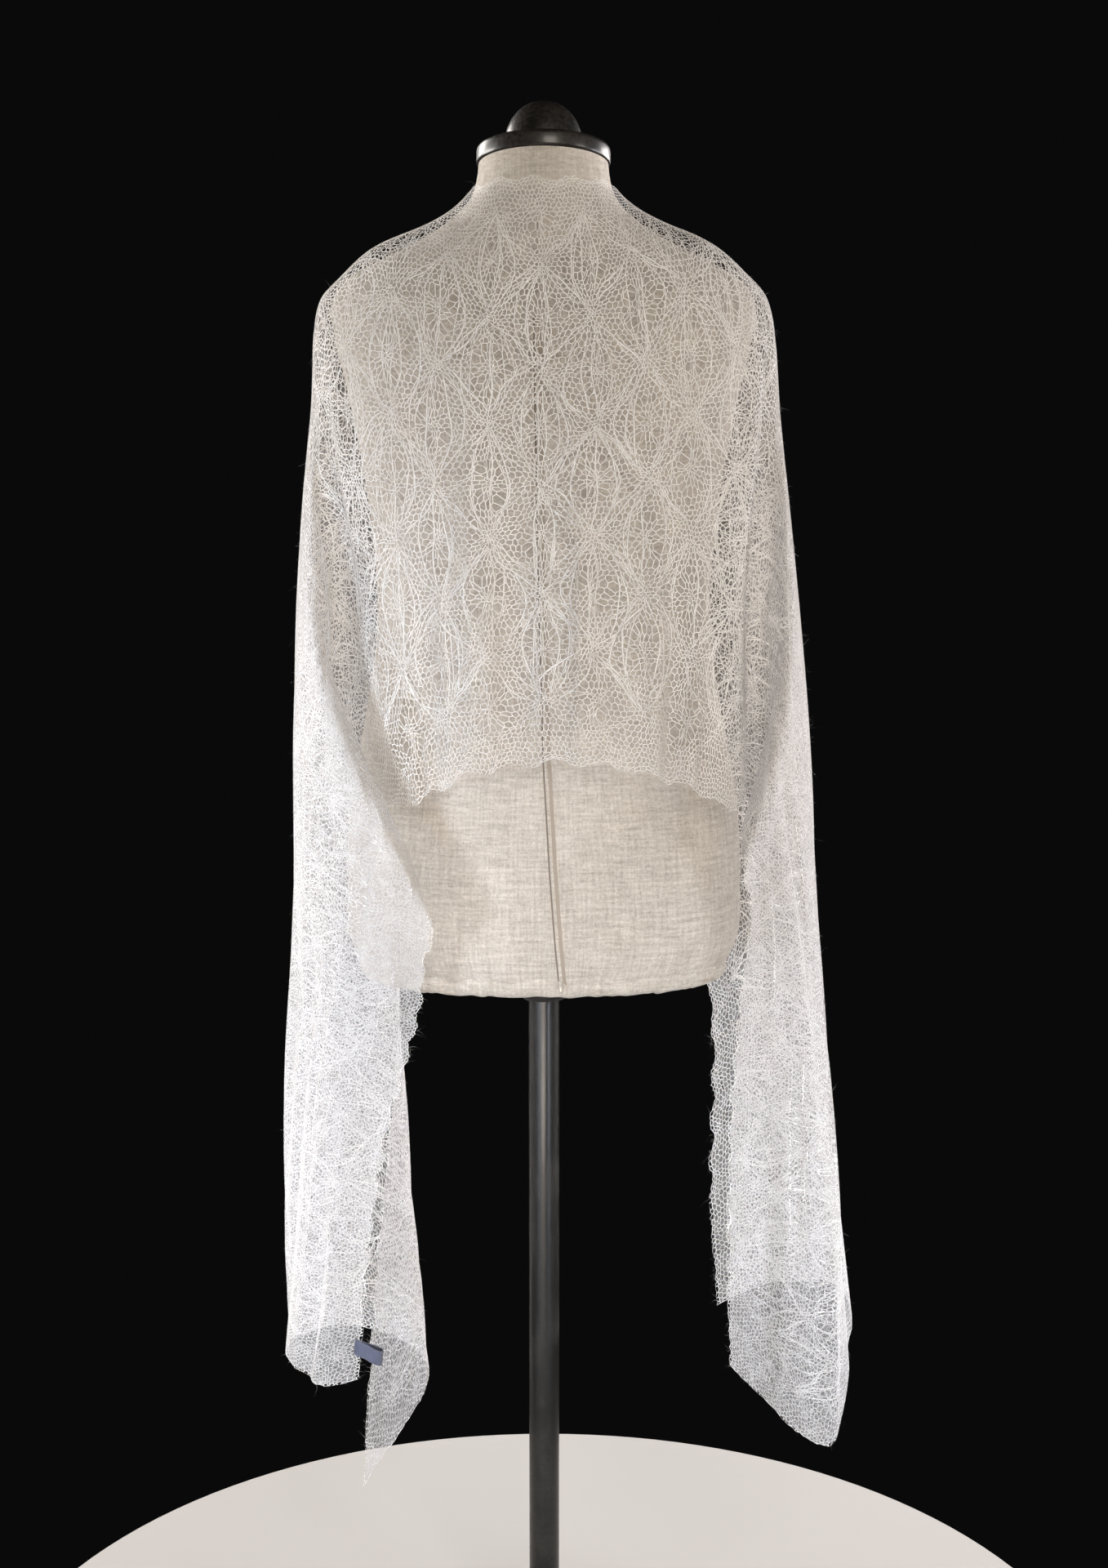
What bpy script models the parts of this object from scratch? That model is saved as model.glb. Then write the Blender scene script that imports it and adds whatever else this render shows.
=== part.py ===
"""Knitted lace shawl draped over a dress form on a pole stand.

Metres, +Z up. The stand's base rests on Z = 0 and the pole's axis is X = Y = 0. The form's back
faces -Y and its front faces +Y, so +X is on the viewer's right when the back is seen.
"""

import math
from collections import namedtuple

import bmesh
import bpy
import numpy as np

# Driving dimensions of the shawl
SHAWL_LENGTH = 2.50
SHAWL_WIDTH = 0.53
WALL = 0.0016
SEAM_GAP = 0.0003
CELLS_ALONG = 80
CELLS_ACROSS = 20
HOLE_SHARE = 0.40
FLAT_ENOUGH = 0.9
HELD_ALONG = 0.10
FINE_ALONG = 400
FINE_ACROSS = 80
PLAIN_BORDER_CELLS = 2
MOTIF_CELLS_ALONG = 2
MOTIF_CELLS_ACROSS = 4

# Driving dimensions of the dress form and its stand
TORSO_SIDES = 40
TORSO_BOTTOM = 0.715
NECK_TILT = math.radians(7.0)
NECK_TOP = 1.447
NECK_RING = (NECK_TOP, 0.0590, 0.0600, 0.0570, 2.0)
NECK_CENTRE_Y = 0.002
CAP_RADIUS = 0.0605
CAP_RING = 0.0165
DOME_RADIUS = 0.0355
DOME_HEIGHT = 0.040
DOME_POWER = 0.9
DOME_STEPS = 7
POLE_RADIUS = 0.0145
COLLAR_RADIUS = 0.030
COLLAR_HEIGHT = 0.034
BASE_RADIUS = 0.190
BASE_THICK = 0.016
SOCKET_RADIUS = 0.026
SOCKET_TOP = 0.038
TOUCH_GAP = 0.0003

# How finely the turned pieces are made, and the angle past which an edge is sharp
TURN_SIDES = 32
SLIM_SIDES = 24
MERGE_DISTANCE = 0.00001
SHARP_ANGLE = math.radians(35)

# Each row is a point of a turned profile, from the axis and back to it. Heights are from the piece's foot.
Turn = namedtuple("Turn", "radius height")

CAP_RING_PROFILE = (
    (0.0, 0.0),
    (CAP_RADIUS - 0.002, 0.0),
    (CAP_RADIUS, 0.004),
    (CAP_RADIUS, CAP_RING - 0.004),
    (CAP_RADIUS - 0.004, CAP_RING - 0.0008),
    (DOME_RADIUS + 0.0045, CAP_RING + 0.0004),
    (DOME_RADIUS + 0.0010, CAP_RING + 0.0016),
)

BASE_PROFILE = (
    (0.0, 0.0),
    (BASE_RADIUS - 0.003, 0.0),
    (BASE_RADIUS, 0.003),
    (BASE_RADIUS, 0.008),
    (BASE_RADIUS - 0.006, 0.0125),
    (0.060, BASE_THICK),
    (SOCKET_RADIUS + 0.004, BASE_THICK + 0.004),
    (SOCKET_RADIUS, SOCKET_TOP),
    (0.0, SOCKET_TOP),
)

COLLAR_PROFILE = (
    (0.0, 0.0),
    (POLE_RADIUS + 0.005, 0.0),
    (POLE_RADIUS + 0.007, 0.004),
    (POLE_RADIUS + 0.007, COLLAR_HEIGHT - 0.012),
    (COLLAR_RADIUS, COLLAR_HEIGHT - 0.005),
    (COLLAR_RADIUS, COLLAR_HEIGHT),
    (0.0, COLLAR_HEIGHT),
)

# How the cloth lies: six lines run along its length, at these shares of its width
ACROSS = (0.0, 0.2, 0.4, 0.6, 0.8, 1.0)

# Each row is a section across the cloth. "along" is its distance from the centre back on the cloth, and
# the six columns are where the section's lines lie, as (outward, forward, up) from the pole's foot.
Section = namedtuple("Section", "along neck_edge chest shoulder arm flank hem_edge")

CENTRE_SECTIONS = (
    (0.000, (0.000, -0.078, 1.427), (0.000, -0.108, 1.330), (0.000, -0.122, 1.226),
     (0.000, -0.131, 1.122), (0.000, -0.138, 1.018), (0.000, -0.143, 0.917)),
)

LEFT_SECTIONS = (
    (0.065, (0.048, -0.059, 1.426), (0.062, -0.104, 1.340), (0.066, -0.121, 1.234),
     (0.066, -0.133, 1.128), (0.064, -0.139, 1.020), (0.060, -0.144, 0.908)),
    (0.130, (0.0700, -0.002, 1.4195), (0.117, -0.077, 1.358), (0.128, -0.110, 1.252),
     (0.126, -0.126, 1.142), (0.119, -0.134, 1.022), (0.108, -0.139, 0.884)),
    (0.200, (0.0825, 0.045, 1.389), (0.160, -0.024, 1.3665), (0.178, -0.082, 1.280),
     (0.171, -0.106, 1.165), (0.153, -0.111, 1.030), (0.142, -0.106, 0.876)),
    (0.260, (0.088, 0.078, 1.346), (0.180, 0.024, 1.344), (0.200, -0.042, 1.312),
     (0.188, -0.080, 1.202), (0.170, -0.068, 1.055), (0.178, -0.062, 0.884)),
    (0.310, (0.091, 0.100, 1.306), (0.184, 0.062, 1.314), (0.208, -0.010, 1.302),
     (0.197, -0.073, 1.204), (0.188, -0.066, 1.064), (0.196, -0.068, 0.886)),
    (0.380, (0.096, 0.126, 1.240), (0.178, 0.102, 1.240), (0.210, 0.030, 1.245),
     (0.207, -0.068, 1.182), (0.192, -0.109, 1.052), (0.172, -0.124, 0.872)),
    (0.440, (0.099, 0.139, 1.187), (0.179, 0.118, 1.183), (0.215, 0.040, 1.192),
     (0.213, -0.067, 1.136), (0.190, -0.134, 1.018), (0.122, -0.145, 0.850)),
    (0.500, (0.102, 0.148, 1.130), (0.180, 0.132, 1.120), (0.219, 0.050, 1.135),
     (0.218, -0.066, 1.085), (0.184, -0.158, 0.975), (0.098, -0.186, 0.802)),
    (0.660, (0.110, 0.152, 0.975), (0.184, 0.140, 0.960), (0.227, 0.060, 0.960),
     (0.228, -0.048, 0.940), (0.194, -0.136, 0.875), (0.100, -0.168, 0.748)),
    (0.840, (0.134, 0.130, 0.770), (0.176, 0.138, 0.765), (0.230, 0.070, 0.765),
     (0.231, -0.035, 0.760), (0.188, -0.122, 0.740), (0.111, -0.142, 0.682)),
    (1.000, (0.150, 0.086, 0.565), (0.145, 0.128, 0.580), (0.208, 0.122, 0.585),
     (0.239, 0.000, 0.585), (0.200, -0.102, 0.580), (0.140, -0.120, 0.575)),
    (1.130, (0.170, 0.058, 0.370), (0.128, 0.110, 0.405), (0.198, 0.128, 0.430),
     (0.247, 0.014, 0.440), (0.208, -0.096, 0.445), (0.158, -0.112, 0.455)),
    (1.250, (0.181, 0.046, 0.170), (0.117, 0.098, 0.268), (0.188, 0.130, 0.305),
     (0.252, 0.020, 0.331), (0.214, -0.088, 0.336), (0.170, -0.104, 0.345)),
)

RIGHT_SECTIONS = (
    (0.065, (0.046, -0.061, 1.427), (0.060, -0.104, 1.341), (0.066, -0.121, 1.236),
     (0.066, -0.133, 1.130), (0.065, -0.139, 1.022), (0.064, -0.144, 0.914)),
    (0.130, (0.0675, -0.006, 1.4235), (0.114, -0.077, 1.362), (0.130, -0.110, 1.256),
     (0.131, -0.126, 1.146), (0.128, -0.134, 1.026), (0.122, -0.140, 0.896)),
    (0.200, (0.0800, 0.041, 1.395), (0.158, -0.026, 1.370), (0.180, -0.080, 1.284),
     (0.178, -0.106, 1.170), (0.172, -0.114, 1.030), (0.170, -0.114, 0.872)),
    (0.260, (0.086, 0.076, 1.351), (0.181, 0.022, 1.347), (0.201, -0.042, 1.312),
     (0.194, -0.078, 1.204), (0.184, -0.062, 1.050), (0.188, -0.058, 0.878)),
    (0.310, (0.090, 0.098, 1.310), (0.186, 0.060, 1.316), (0.209, -0.010, 1.302),
     (0.204, -0.070, 1.202), (0.199, -0.058, 1.056), (0.201, -0.054, 0.878)),
    (0.380, (0.096, 0.125, 1.240), (0.180, 0.100, 1.240), (0.211, 0.030, 1.245),
     (0.214, -0.064, 1.180), (0.208, -0.104, 1.048), (0.191, -0.114, 0.872)),
    (0.440, (0.100, 0.138, 1.187), (0.182, 0.117, 1.184), (0.217, 0.042, 1.188),
     (0.220, -0.061, 1.135), (0.211, -0.123, 1.016), (0.172, -0.140, 0.860)),
    (0.500, (0.104, 0.147, 1.130), (0.184, 0.130, 1.120), (0.224, 0.052, 1.130),
     (0.226, -0.058, 1.085), (0.212, -0.140, 0.975), (0.170, -0.172, 0.838)),
    (0.660, (0.116, 0.151, 0.975), (0.192, 0.138, 0.960), (0.242, 0.062, 0.955),
     (0.243, -0.036, 0.935), (0.216, -0.120, 0.880), (0.181, -0.142, 0.784)),
    (0.840, (0.148, 0.144, 0.780), (0.203, 0.126, 0.770), (0.252, 0.064, 0.765),
     (0.256, -0.026, 0.755), (0.232, -0.098, 0.730), (0.172, -0.118, 0.692)),
    (1.000, (0.168, 0.126, 0.610), (0.212, 0.112, 0.605), (0.262, 0.070, 0.600),
     (0.268, -0.012, 0.590), (0.246, -0.090, 0.570), (0.166, -0.106, 0.560)),
    (1.130, (0.166, 0.112, 0.460), (0.218, 0.110, 0.465), (0.278, 0.072, 0.470),
     (0.284, -0.006, 0.462), (0.256, -0.084, 0.410), (0.167, -0.102, 0.448)),
    (1.250, (0.175, 0.102, 0.338), (0.226, 0.104, 0.360), (0.286, 0.068, 0.372),
     (0.297, -0.004, 0.360), (0.264, -0.080, 0.272), (0.171, -0.100, 0.357)),
)

# Each row is a soft fold that stands out of the cloth (or sinks in, where deep is negative). "along" and
# "across" are its middle, with along signed from the centre back towards +X. Its reaches are half sizes.
Fold = namedtuple("Fold", "along across reach_along reach_across deep")

FOLDS = (
    (-0.062, 0.80, 0.026, 0.60, -0.011),
    (-0.020, 0.86, 0.020, 0.50, 0.007),
    (0.034, 0.84, 0.022, 0.50, -0.010),
    (0.082, 0.90, 0.024, 0.40, 0.006),
    (0.118, 0.96, 0.014, 0.30, 0.010),
    (0.146, 0.92, 0.016, 0.34, -0.007),
    (-0.106, 0.92, 0.020, 0.34, 0.007),
    (-1.000, 0.56, 0.400, 0.05, -0.011),
    (-1.000, 0.70, 0.400, 0.05, 0.009),
    (-1.120, 0.86, 0.300, 0.05, 0.010),
    (-0.800, 0.34, 0.300, 0.06, 0.007),
    (-0.700, 0.46, 0.360, 0.05, 0.007),
    (1.000, 0.50, 0.400, 0.05, 0.010),
    (1.060, 0.90, 0.340, 0.06, 0.009),
    (0.980, 0.70, 0.400, 0.05, -0.011),
    (0.950, 0.28, 0.420, 0.06, -0.010),
    (0.700, 0.60, 0.340, 0.05, 0.007),
)

# Each stretch of the shawl that shows is a node, between two rows of cells counted from the left end
STRETCHES = (
    ("shawl_left_fall", 0, 23),
    ("shawl_left_shoulder", 23, 35),
    ("shawl_back", 35, 45),
    ("shawl_right_shoulder", 45, 57),
    ("shawl_right_fall", 57, 80),
)

# Each row is a ring of the torso: height, half width, reach to the back and to the front, and squareness
Ring = namedtuple("Ring", "height half_width back front power")

TORSO_RINGS = (
    (0.715, 0.168, 0.116, 0.110, 2.3),
    (0.730, 0.177, 0.123, 0.115, 2.3),
    (0.800, 0.184, 0.127, 0.118, 2.3),
    (0.880, 0.179, 0.119, 0.113, 2.3),
    (0.960, 0.164, 0.104, 0.104, 2.3),
    (1.040, 0.154, 0.096, 0.100, 2.3),
    (1.120, 0.158, 0.100, 0.116, 2.3),
    (1.190, 0.168, 0.107, 0.133, 2.3),
    (1.250, 0.180, 0.110, 0.118, 2.3),
    (1.295, 0.190, 0.104, 0.088, 2.3),
    (1.325, 0.192, 0.092, 0.068, 2.2),
    (1.346, 0.178, 0.080, 0.058, 2.1),
    (1.362, 0.150, 0.072, 0.054, 2.0),
    (1.378, 0.117, 0.067, 0.053, 2.0),
    (1.396, 0.087, 0.064, 0.053, 2.0),
    (1.416, 0.067, 0.062, 0.054, 2.0),
    (1.434, 0.0605, 0.0605, 0.056, 2.0),
)

# The label sits in one cell of the cloth, between two shares of that cell's length. Each pair of its profile
# is how far out from the edge a point of the ribbon lies and how far off the cloth's middle.
LABEL_CELL = 1
LABEL_FROM = 0.12
LABEL_TO = 0.76
LABEL_STEPS = 3
LABEL_PROFILE = ((-0.006, 0.0014), (0.004, 0.0015), (0.011, 0.0040), (0.018, 0.0032))
LABEL_TURN = 0.0022
LABEL_WALL = 0.0010
LABEL_SAG = 0.60


def clear_scene():
    """Remove whatever the scene holds."""
    for obj in list(bpy.data.objects):
        bpy.data.objects.remove(obj, do_unlink=True)


def material(name, colour, roughness, metallic=0.0):
    """A Principled material in one colour."""
    made = bpy.data.materials.new(name)
    made.use_nodes = True
    shader = made.node_tree.nodes["Principled BSDF"]
    shader.inputs["Base Color"].default_value = (*colour, 1.0)
    shader.inputs["Roughness"].default_value = roughness
    shader.inputs["Metallic"].default_value = metallic
    return made


def add_object(name, bm, finish):
    """Link a bmesh as a named, smooth object with its material, its faces pointing out."""
    bmesh.ops.recalc_face_normals(bm, faces=bm.faces[:])
    mesh = bpy.data.meshes.new(name)
    bm.to_mesh(mesh)
    bm.free()
    mesh.materials.append(finish)
    mesh.shade_smooth()
    mesh.set_sharp_from_angle(angle=SHARP_ANGLE)
    obj = bpy.data.objects.new(name, mesh)
    bpy.context.scene.collection.objects.link(obj)
    return obj


def whole_net():
    """(along, points): every section from the left end to the right end, along signed, points an array."""
    along, points = [], []
    for side, table in ((-1, LEFT_SECTIONS[::-1]), (1, CENTRE_SECTIONS + RIGHT_SECTIONS)):
        for section in (Section(*row) for row in table):
            along.append(side * section.along)
            points.append([(side * x, y, z) for x, y, z in section[1:]])
    return np.array(along), np.array(points)


def smooth_between(knots, values, at):
    """Smooth curve through values at knots, read at many places: a cubic with slopes from the neighbours."""
    slopes = np.gradient(values, knots, axis=0)
    index = np.clip(np.searchsorted(knots, at, side="right") - 1, 0, len(knots) - 2)
    step = (knots[index + 1] - knots[index])[:, None]
    share = ((at - knots[index])[:, None]) / step
    square, cube = share**2, share**3
    return (
        (2 * cube - 3 * square + 1) * values[index]
        + (cube - 2 * square + share) * step * slopes[index]
        + (3 * square - 2 * cube) * values[index + 1]
        + (cube - square) * step * slopes[index + 1]
    )


def spaced_evenly(line, held):
    """The same curve with its points at even distances, past the first ones, which are held."""
    steps = np.linalg.norm(np.diff(line, axis=0), axis=1)
    run = np.concatenate([[0.0], np.cumsum(steps)])
    wanted = run.copy()
    wanted[held:] = np.linspace(run[held], run[-1], len(run) - held)
    return np.stack([np.interp(wanted, run, line[:, axis]) for axis in range(3)], axis=1)


def middle_surface(along, across):
    """Points of the cloth before its soft folds, as an array [along, across, 3]."""
    knots, net = whole_net()
    lengthwise = smooth_between(knots, net.reshape(len(knots), -1), along)
    lengthwise = lengthwise.reshape(len(along), len(ACROSS), 3).transpose(1, 0, 2)
    full = smooth_between(np.array(ACROSS), lengthwise.reshape(len(ACROSS), -1), across)
    full = full.reshape(len(across), len(along), 3).transpose(1, 0, 2)
    full = np.stack([spaced_evenly(section, 0) for section in full])
    centre = len(along) // 2
    held = int(np.searchsorted(along[centre:], HELD_ALONG))
    for j in range(len(across)):
        full[centre:, j] = spaced_evenly(full[centre:, j], held)
        full[centre::-1, j] = spaced_evenly(full[centre::-1, j], held)
    return full


def normals_of(points):
    """Unit normals of a grid of points, which point away from the form."""
    lengthwise = np.gradient(points, axis=0)
    crosswise = np.gradient(points, axis=1)
    normal = np.cross(lengthwise, crosswise)
    return normal / np.linalg.norm(normal, axis=2, keepdims=True)


def bump(distance):
    """A soft rise from 0 at one reach from the middle to 1 in the middle."""
    inside = np.clip(1.0 - np.abs(distance), 0.0, 1.0)
    return inside * inside * (3.0 - 2.0 * inside)


def fine_cloth():
    """Points of the cloth's middle on a fine grid, its folds included, as an array [along, across, 3]."""
    along = np.linspace(-SHAWL_LENGTH / 2, SHAWL_LENGTH / 2, FINE_ALONG + 1)
    across = np.linspace(0.0, 1.0, FINE_ACROSS + 1)
    points = middle_surface(along, across)
    normals = normals_of(points)
    rise = np.zeros((len(along), len(across)))
    for fold in (Fold(*row) for row in FOLDS):
        lengthwise = bump((along - fold.along) / fold.reach_along)
        crosswise = bump((across - fold.across) / fold.reach_across)
        rise += fold.deep * np.outer(lengthwise, crosswise)
    return points + rise[:, :, None] * normals


def blurred(values, reach, axis):
    """Each value averaged with its neighbours up to a reach away along one axis, the ends repeated."""
    padding = [(0, 0)] * values.ndim
    padding[axis] = (reach, reach)
    padded = np.pad(values, padding, mode="edge")
    shifts = [np.take(padded, range(k, k + values.shape[axis]), axis=axis) for k in range(2 * reach + 1)]
    return sum(shifts) / len(shifts)


def cell_grid():
    """(points, offsets) at the corners of the cloth's cells, as arrays [along, across, 3].

    An offset points off the cloth and is half its wall thick, or less in a sharp crease.
    """
    step_along, step_across = FINE_ALONG // CELLS_ALONG, FINE_ACROSS // CELLS_ACROSS
    points = fine_cloth()
    normals = blurred(blurred(normals_of(points), step_along, 0), step_across, 1)
    return points[::step_along, ::step_across], WALL / 2 * normals[::step_along, ::step_across]


def is_hole(row, column):
    """Whether this cell of the whole shawl holds the large opening at a leaf's foot."""
    for place, cells in ((row, CELLS_ALONG), (column, CELLS_ACROSS)):
        if not PLAIN_BORDER_CELLS <= place < cells - PLAIN_BORDER_CELLS:
            return False
    half_drop = (MOTIF_CELLS_ACROSS // 2) * (row % MOTIF_CELLS_ALONG)
    return (column - PLAIN_BORDER_CELLS - half_drop - 1) % MOTIF_CELLS_ACROSS == 0


def both_skins(bm, corners_out, corners_in):
    """The same four-cornered patch on both skins, halved along one diagonal so that they stay parallel."""
    for corners, picks in ((corners_out, ((0, 1, 2), (0, 2, 3))), (corners_in, ((2, 1, 0), (3, 2, 0)))):
        for pick in picks:
            bm.faces.new([corners[k] for k in pick])


def cell_faces(bm, corners_out, corners_in, hole):
    """One cell of the wall: a plain patch, or a frame round a cut opening."""
    if not hole:
        both_skins(bm, corners_out, corners_in)
        return
    rims = []
    for corners in (corners_out, corners_in):
        centre = sum((v.co for v in corners), start=corners[0].co * 0.0) / 4
        rims.append([bm.verts.new(centre.lerp(v.co, HOLE_SHARE)) for v in corners])
    for k in range(4):
        n = (k + 1) % 4
        both_skins(bm, (corners_out[k], corners_out[n], rims[0][n], rims[0][k]),
                   (corners_in[k], corners_in[n], rims[1][n], rims[1][k]))
        bm.faces.new((rims[0][k], rims[0][n], rims[1][n], rims[1][k]))


def shawl_stretch(name, first, last, grid, finish):
    """One stretch of the shawl as a closed wall with its large lace openings cut through."""
    points, offsets = (values[first:last + 1].copy() for values in grid)
    for seam, inside, is_end in ((0, 1, first == 0), (-1, -2, last == CELLS_ALONG)):
        if not is_end:
            inward = points[inside] - points[seam]
            points[seam] += SEAM_GAP / 2 * inward / np.linalg.norm(inward, axis=1, keepdims=True)
    bm = bmesh.new()
    outer, inner = ([[bm.verts.new(p) for p in row] for row in points + side * offsets] for side in (1, -1))
    rows = last - first
    for i in range(rows):
        for j in range(CELLS_ACROSS):
            ring = ((i, j), (i + 1, j), (i + 1, j + 1), (i, j + 1))
            thinnest = 2 * min(np.linalg.norm(offsets[corner]) for corner in ring)
            hole = is_hole(first + i, j) and thinnest > FLAT_ENOUGH * WALL
            cell_faces(bm, [outer[a][b] for a, b in ring], [inner[a][b] for a, b in ring], hole)
    for i in range(rows):
        for j in (0, CELLS_ACROSS):
            bm.faces.new((outer[i][j], outer[i + 1][j], inner[i + 1][j], inner[i][j]))
    for j in range(CELLS_ACROSS):
        for i in (0, rows):
            bm.faces.new((outer[i][j], outer[i][j + 1], inner[i][j + 1], inner[i][j]))
    return add_object(name, bm, finish)


def edge_label(grid, finish):
    """Bare ribbon label, a loop whose two ends clasp the cloth's hem edge near the left end."""
    middles, offsets = (values[LABEL_CELL:LABEL_CELL + 2, -2:] for values in grid)
    bm = bmesh.new()
    strips = []
    for share in np.linspace(LABEL_FROM, LABEL_TO, LABEL_STEPS + 1):
        inner, edge = middles[0] * (1 - share) + middles[1] * share
        normal = (offsets[0, 1] * (1 - share) + offsets[1, 1] * share) * 2 / WALL
        outward = (edge - inner) / np.linalg.norm(edge - inner)
        outward = outward + LABEL_SAG * np.array([0.0, 0.0, -1.0])
        strip = []
        for skin in (0.0, LABEL_WALL):
            front = [edge + reach * outward + (rise + skin) * normal for reach, rise in LABEL_PROFILE]
            turn = [edge + (LABEL_PROFILE[-1][0] + LABEL_TURN + skin) * outward]
            back = [edge + reach * outward - (rise + skin) * normal for reach, rise in LABEL_PROFILE[::-1]]
            strip.append([bm.verts.new(p) for p in front + turn + back])
        strips.append(strip)
    count = len(strips[0][0])
    for one, two in zip(strips, strips[1:]):
        for k in range(count - 1):
            bm.faces.new((one[0][k], one[0][k + 1], two[0][k + 1], two[0][k]))
            bm.faces.new((one[1][k], two[1][k], two[1][k + 1], one[1][k + 1]))
        for k in (0, count - 1):
            bm.faces.new((one[0][k], one[1][k], two[1][k], two[0][k]))
    for strip in (strips[0], strips[-1]):
        for k in range(count - 1):
            bm.faces.new((strip[0][k], strip[0][k + 1], strip[1][k + 1], strip[1][k]))
    return add_object("edge_label", bm, finish)


def torso_ring(ring, tilt=0.0):
    """Points round one ring of the torso, a rounded oval with its own depth to the back and the front."""
    points = []
    for k in range(TORSO_SIDES):
        angle = 2 * math.pi * k / TORSO_SIDES
        c, s = math.cos(angle), math.sin(angle)
        x = ring.half_width * math.copysign(abs(c) ** (2 / ring.power), c)
        deep = ring.back if s < 0 else ring.front
        y = NECK_CENTRE_Y + deep * math.copysign(abs(s) ** (2 / ring.power), s)
        points.append((x, y, ring.height - math.tan(tilt) * y))
    return points


def torso(finish):
    """The padded torso, lofted through its rings, with a flat underside and a sloping neck top."""
    rings = [torso_ring(Ring(*row)) for row in TORSO_RINGS]
    rings.append(torso_ring(Ring(*NECK_RING), NECK_TILT))
    bm = bmesh.new()
    loops = []
    for ring in rings:
        verts = [bm.verts.new(point) for point in ring]
        loops.append([bm.edges.new((verts[k - 1], verts[k])) for k in range(TORSO_SIDES)])
    for lower, upper in zip(loops, loops[1:]):
        bmesh.ops.bridge_loops(bm, edges=lower + upper)
    for end in (loops[0], loops[-1]):
        bmesh.ops.edgeloop_fill(bm, edges=end)
    return add_object("form_torso", bm, finish)


def turned(name, profile, finish, foot=0.0, sides=TURN_SIDES):
    """A closed solid turned about Z through the profile's points, its foot at this height."""
    bm = bmesh.new()
    turns = [Turn(*row) for row in profile]
    verts = [bm.verts.new((turn.radius, 0.0, foot + turn.height)) for turn in turns]
    edges = [bm.edges.new(pair) for pair in zip(verts, verts[1:])]
    bmesh.ops.spin(bm, geom=verts + edges, cent=(0, 0, 0), axis=(0, 0, 1), angle=math.tau, steps=sides,
                   use_merge=True)
    bmesh.ops.remove_doubles(bm, verts=bm.verts[:], dist=MERGE_DISTANCE)
    return add_object(name, bm, finish)


def neck_cap(finish):
    """Turned wooden cap on the neck: a ring with a rounded edge under a bell-shaped dome."""
    dome = []
    for step in range(1, DOME_STEPS):
        angle = math.pi / 2 * step / DOME_STEPS
        dome.append((DOME_RADIUS * math.cos(angle) ** DOME_POWER, CAP_RING + DOME_HEIGHT * math.sin(angle)))
    crown = (0.0, CAP_RING + DOME_HEIGHT)
    cap = turned("form_neck_cap", (*CAP_RING_PROFILE, *dome, crown), finish)
    cap.rotation_euler = (-NECK_TILT, 0.0, 0.0)
    lift = TOUCH_GAP / math.cos(NECK_TILT)
    cap.location = (0.0, NECK_CENTRE_Y, NECK_TOP + lift - math.tan(NECK_TILT) * NECK_CENTRE_Y)
    return cap


def stand(finish):
    """Round base with a low rise, the pole, and the collar that carries the torso."""
    collar_foot = TORSO_BOTTOM - TOUCH_GAP - COLLAR_HEIGHT
    pole_foot = SOCKET_TOP + TOUCH_GAP
    pole_length = collar_foot - TOUCH_GAP - pole_foot
    pole_profile = ((0.0, 0.0), (POLE_RADIUS, 0.0), (POLE_RADIUS, pole_length), (0.0, pole_length))
    turned("stand_base", BASE_PROFILE, finish)
    turned("stand_pole", pole_profile, finish, foot=pole_foot, sides=SLIM_SIDES)
    turned("stand_collar", COLLAR_PROFILE, finish, foot=collar_foot, sides=SLIM_SIDES)


def main():
    """Build every piece."""
    clear_scene()
    wool = material("white_mohair", (0.86, 0.83, 0.82), 0.9)
    linen = material("linen_cover", (0.66, 0.61, 0.55), 0.85)
    black_wood = material("black_lacquered_wood", (0.02, 0.019, 0.018), 0.3)
    ribbon = material("grey_ribbon", (0.16, 0.17, 0.22), 0.5)
    grid = cell_grid()
    for name, first, last in STRETCHES:
        shawl_stretch(name, first, last, grid, wool)
    edge_label(grid, ribbon)
    torso(linen)
    neck_cap(black_wood)
    stand(black_wood)


main()
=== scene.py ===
"""Looks of a knitted lace shawl on a dress form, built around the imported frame.

Metres, +Z up. The form's back faces -Y, so the camera stands at -Y. The shawl is a net of yarn: a flat
honeycomb is laid out in the cloth's own plane, drawn together into leaves and eyelets, and then laid on
the same draped surface as the frame's walls.
"""

from __future__ import annotations

import logging
import math
from dataclasses import dataclass
from enum import Enum
from typing import Any, Callable, Iterable, NamedTuple, Sequence

import bmesh
import bpy
import numpy as np
from mathutils import Matrix, Vector

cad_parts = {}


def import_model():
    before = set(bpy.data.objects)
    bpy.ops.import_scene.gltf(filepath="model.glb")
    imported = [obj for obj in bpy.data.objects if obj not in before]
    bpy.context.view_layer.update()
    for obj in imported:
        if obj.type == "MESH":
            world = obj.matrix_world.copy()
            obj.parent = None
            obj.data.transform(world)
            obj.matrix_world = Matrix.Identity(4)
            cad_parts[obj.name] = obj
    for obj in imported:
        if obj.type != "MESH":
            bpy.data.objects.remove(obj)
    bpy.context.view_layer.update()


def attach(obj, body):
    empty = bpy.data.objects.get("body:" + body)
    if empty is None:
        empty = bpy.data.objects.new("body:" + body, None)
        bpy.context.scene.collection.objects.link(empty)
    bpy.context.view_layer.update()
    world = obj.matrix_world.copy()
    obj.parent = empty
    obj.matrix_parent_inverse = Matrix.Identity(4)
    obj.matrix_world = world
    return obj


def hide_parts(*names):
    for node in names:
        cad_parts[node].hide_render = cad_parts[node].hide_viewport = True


log = logging.getLogger("lace_shawl")

BODY = "root"
BAKE_MAP = "OFBake"
CLOTH_MAP = "cloth"


class Space(Enum):
    """Where a pattern takes its coordinates from."""

    OBJECT = "Object"
    CLOTH = "UV"


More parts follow.
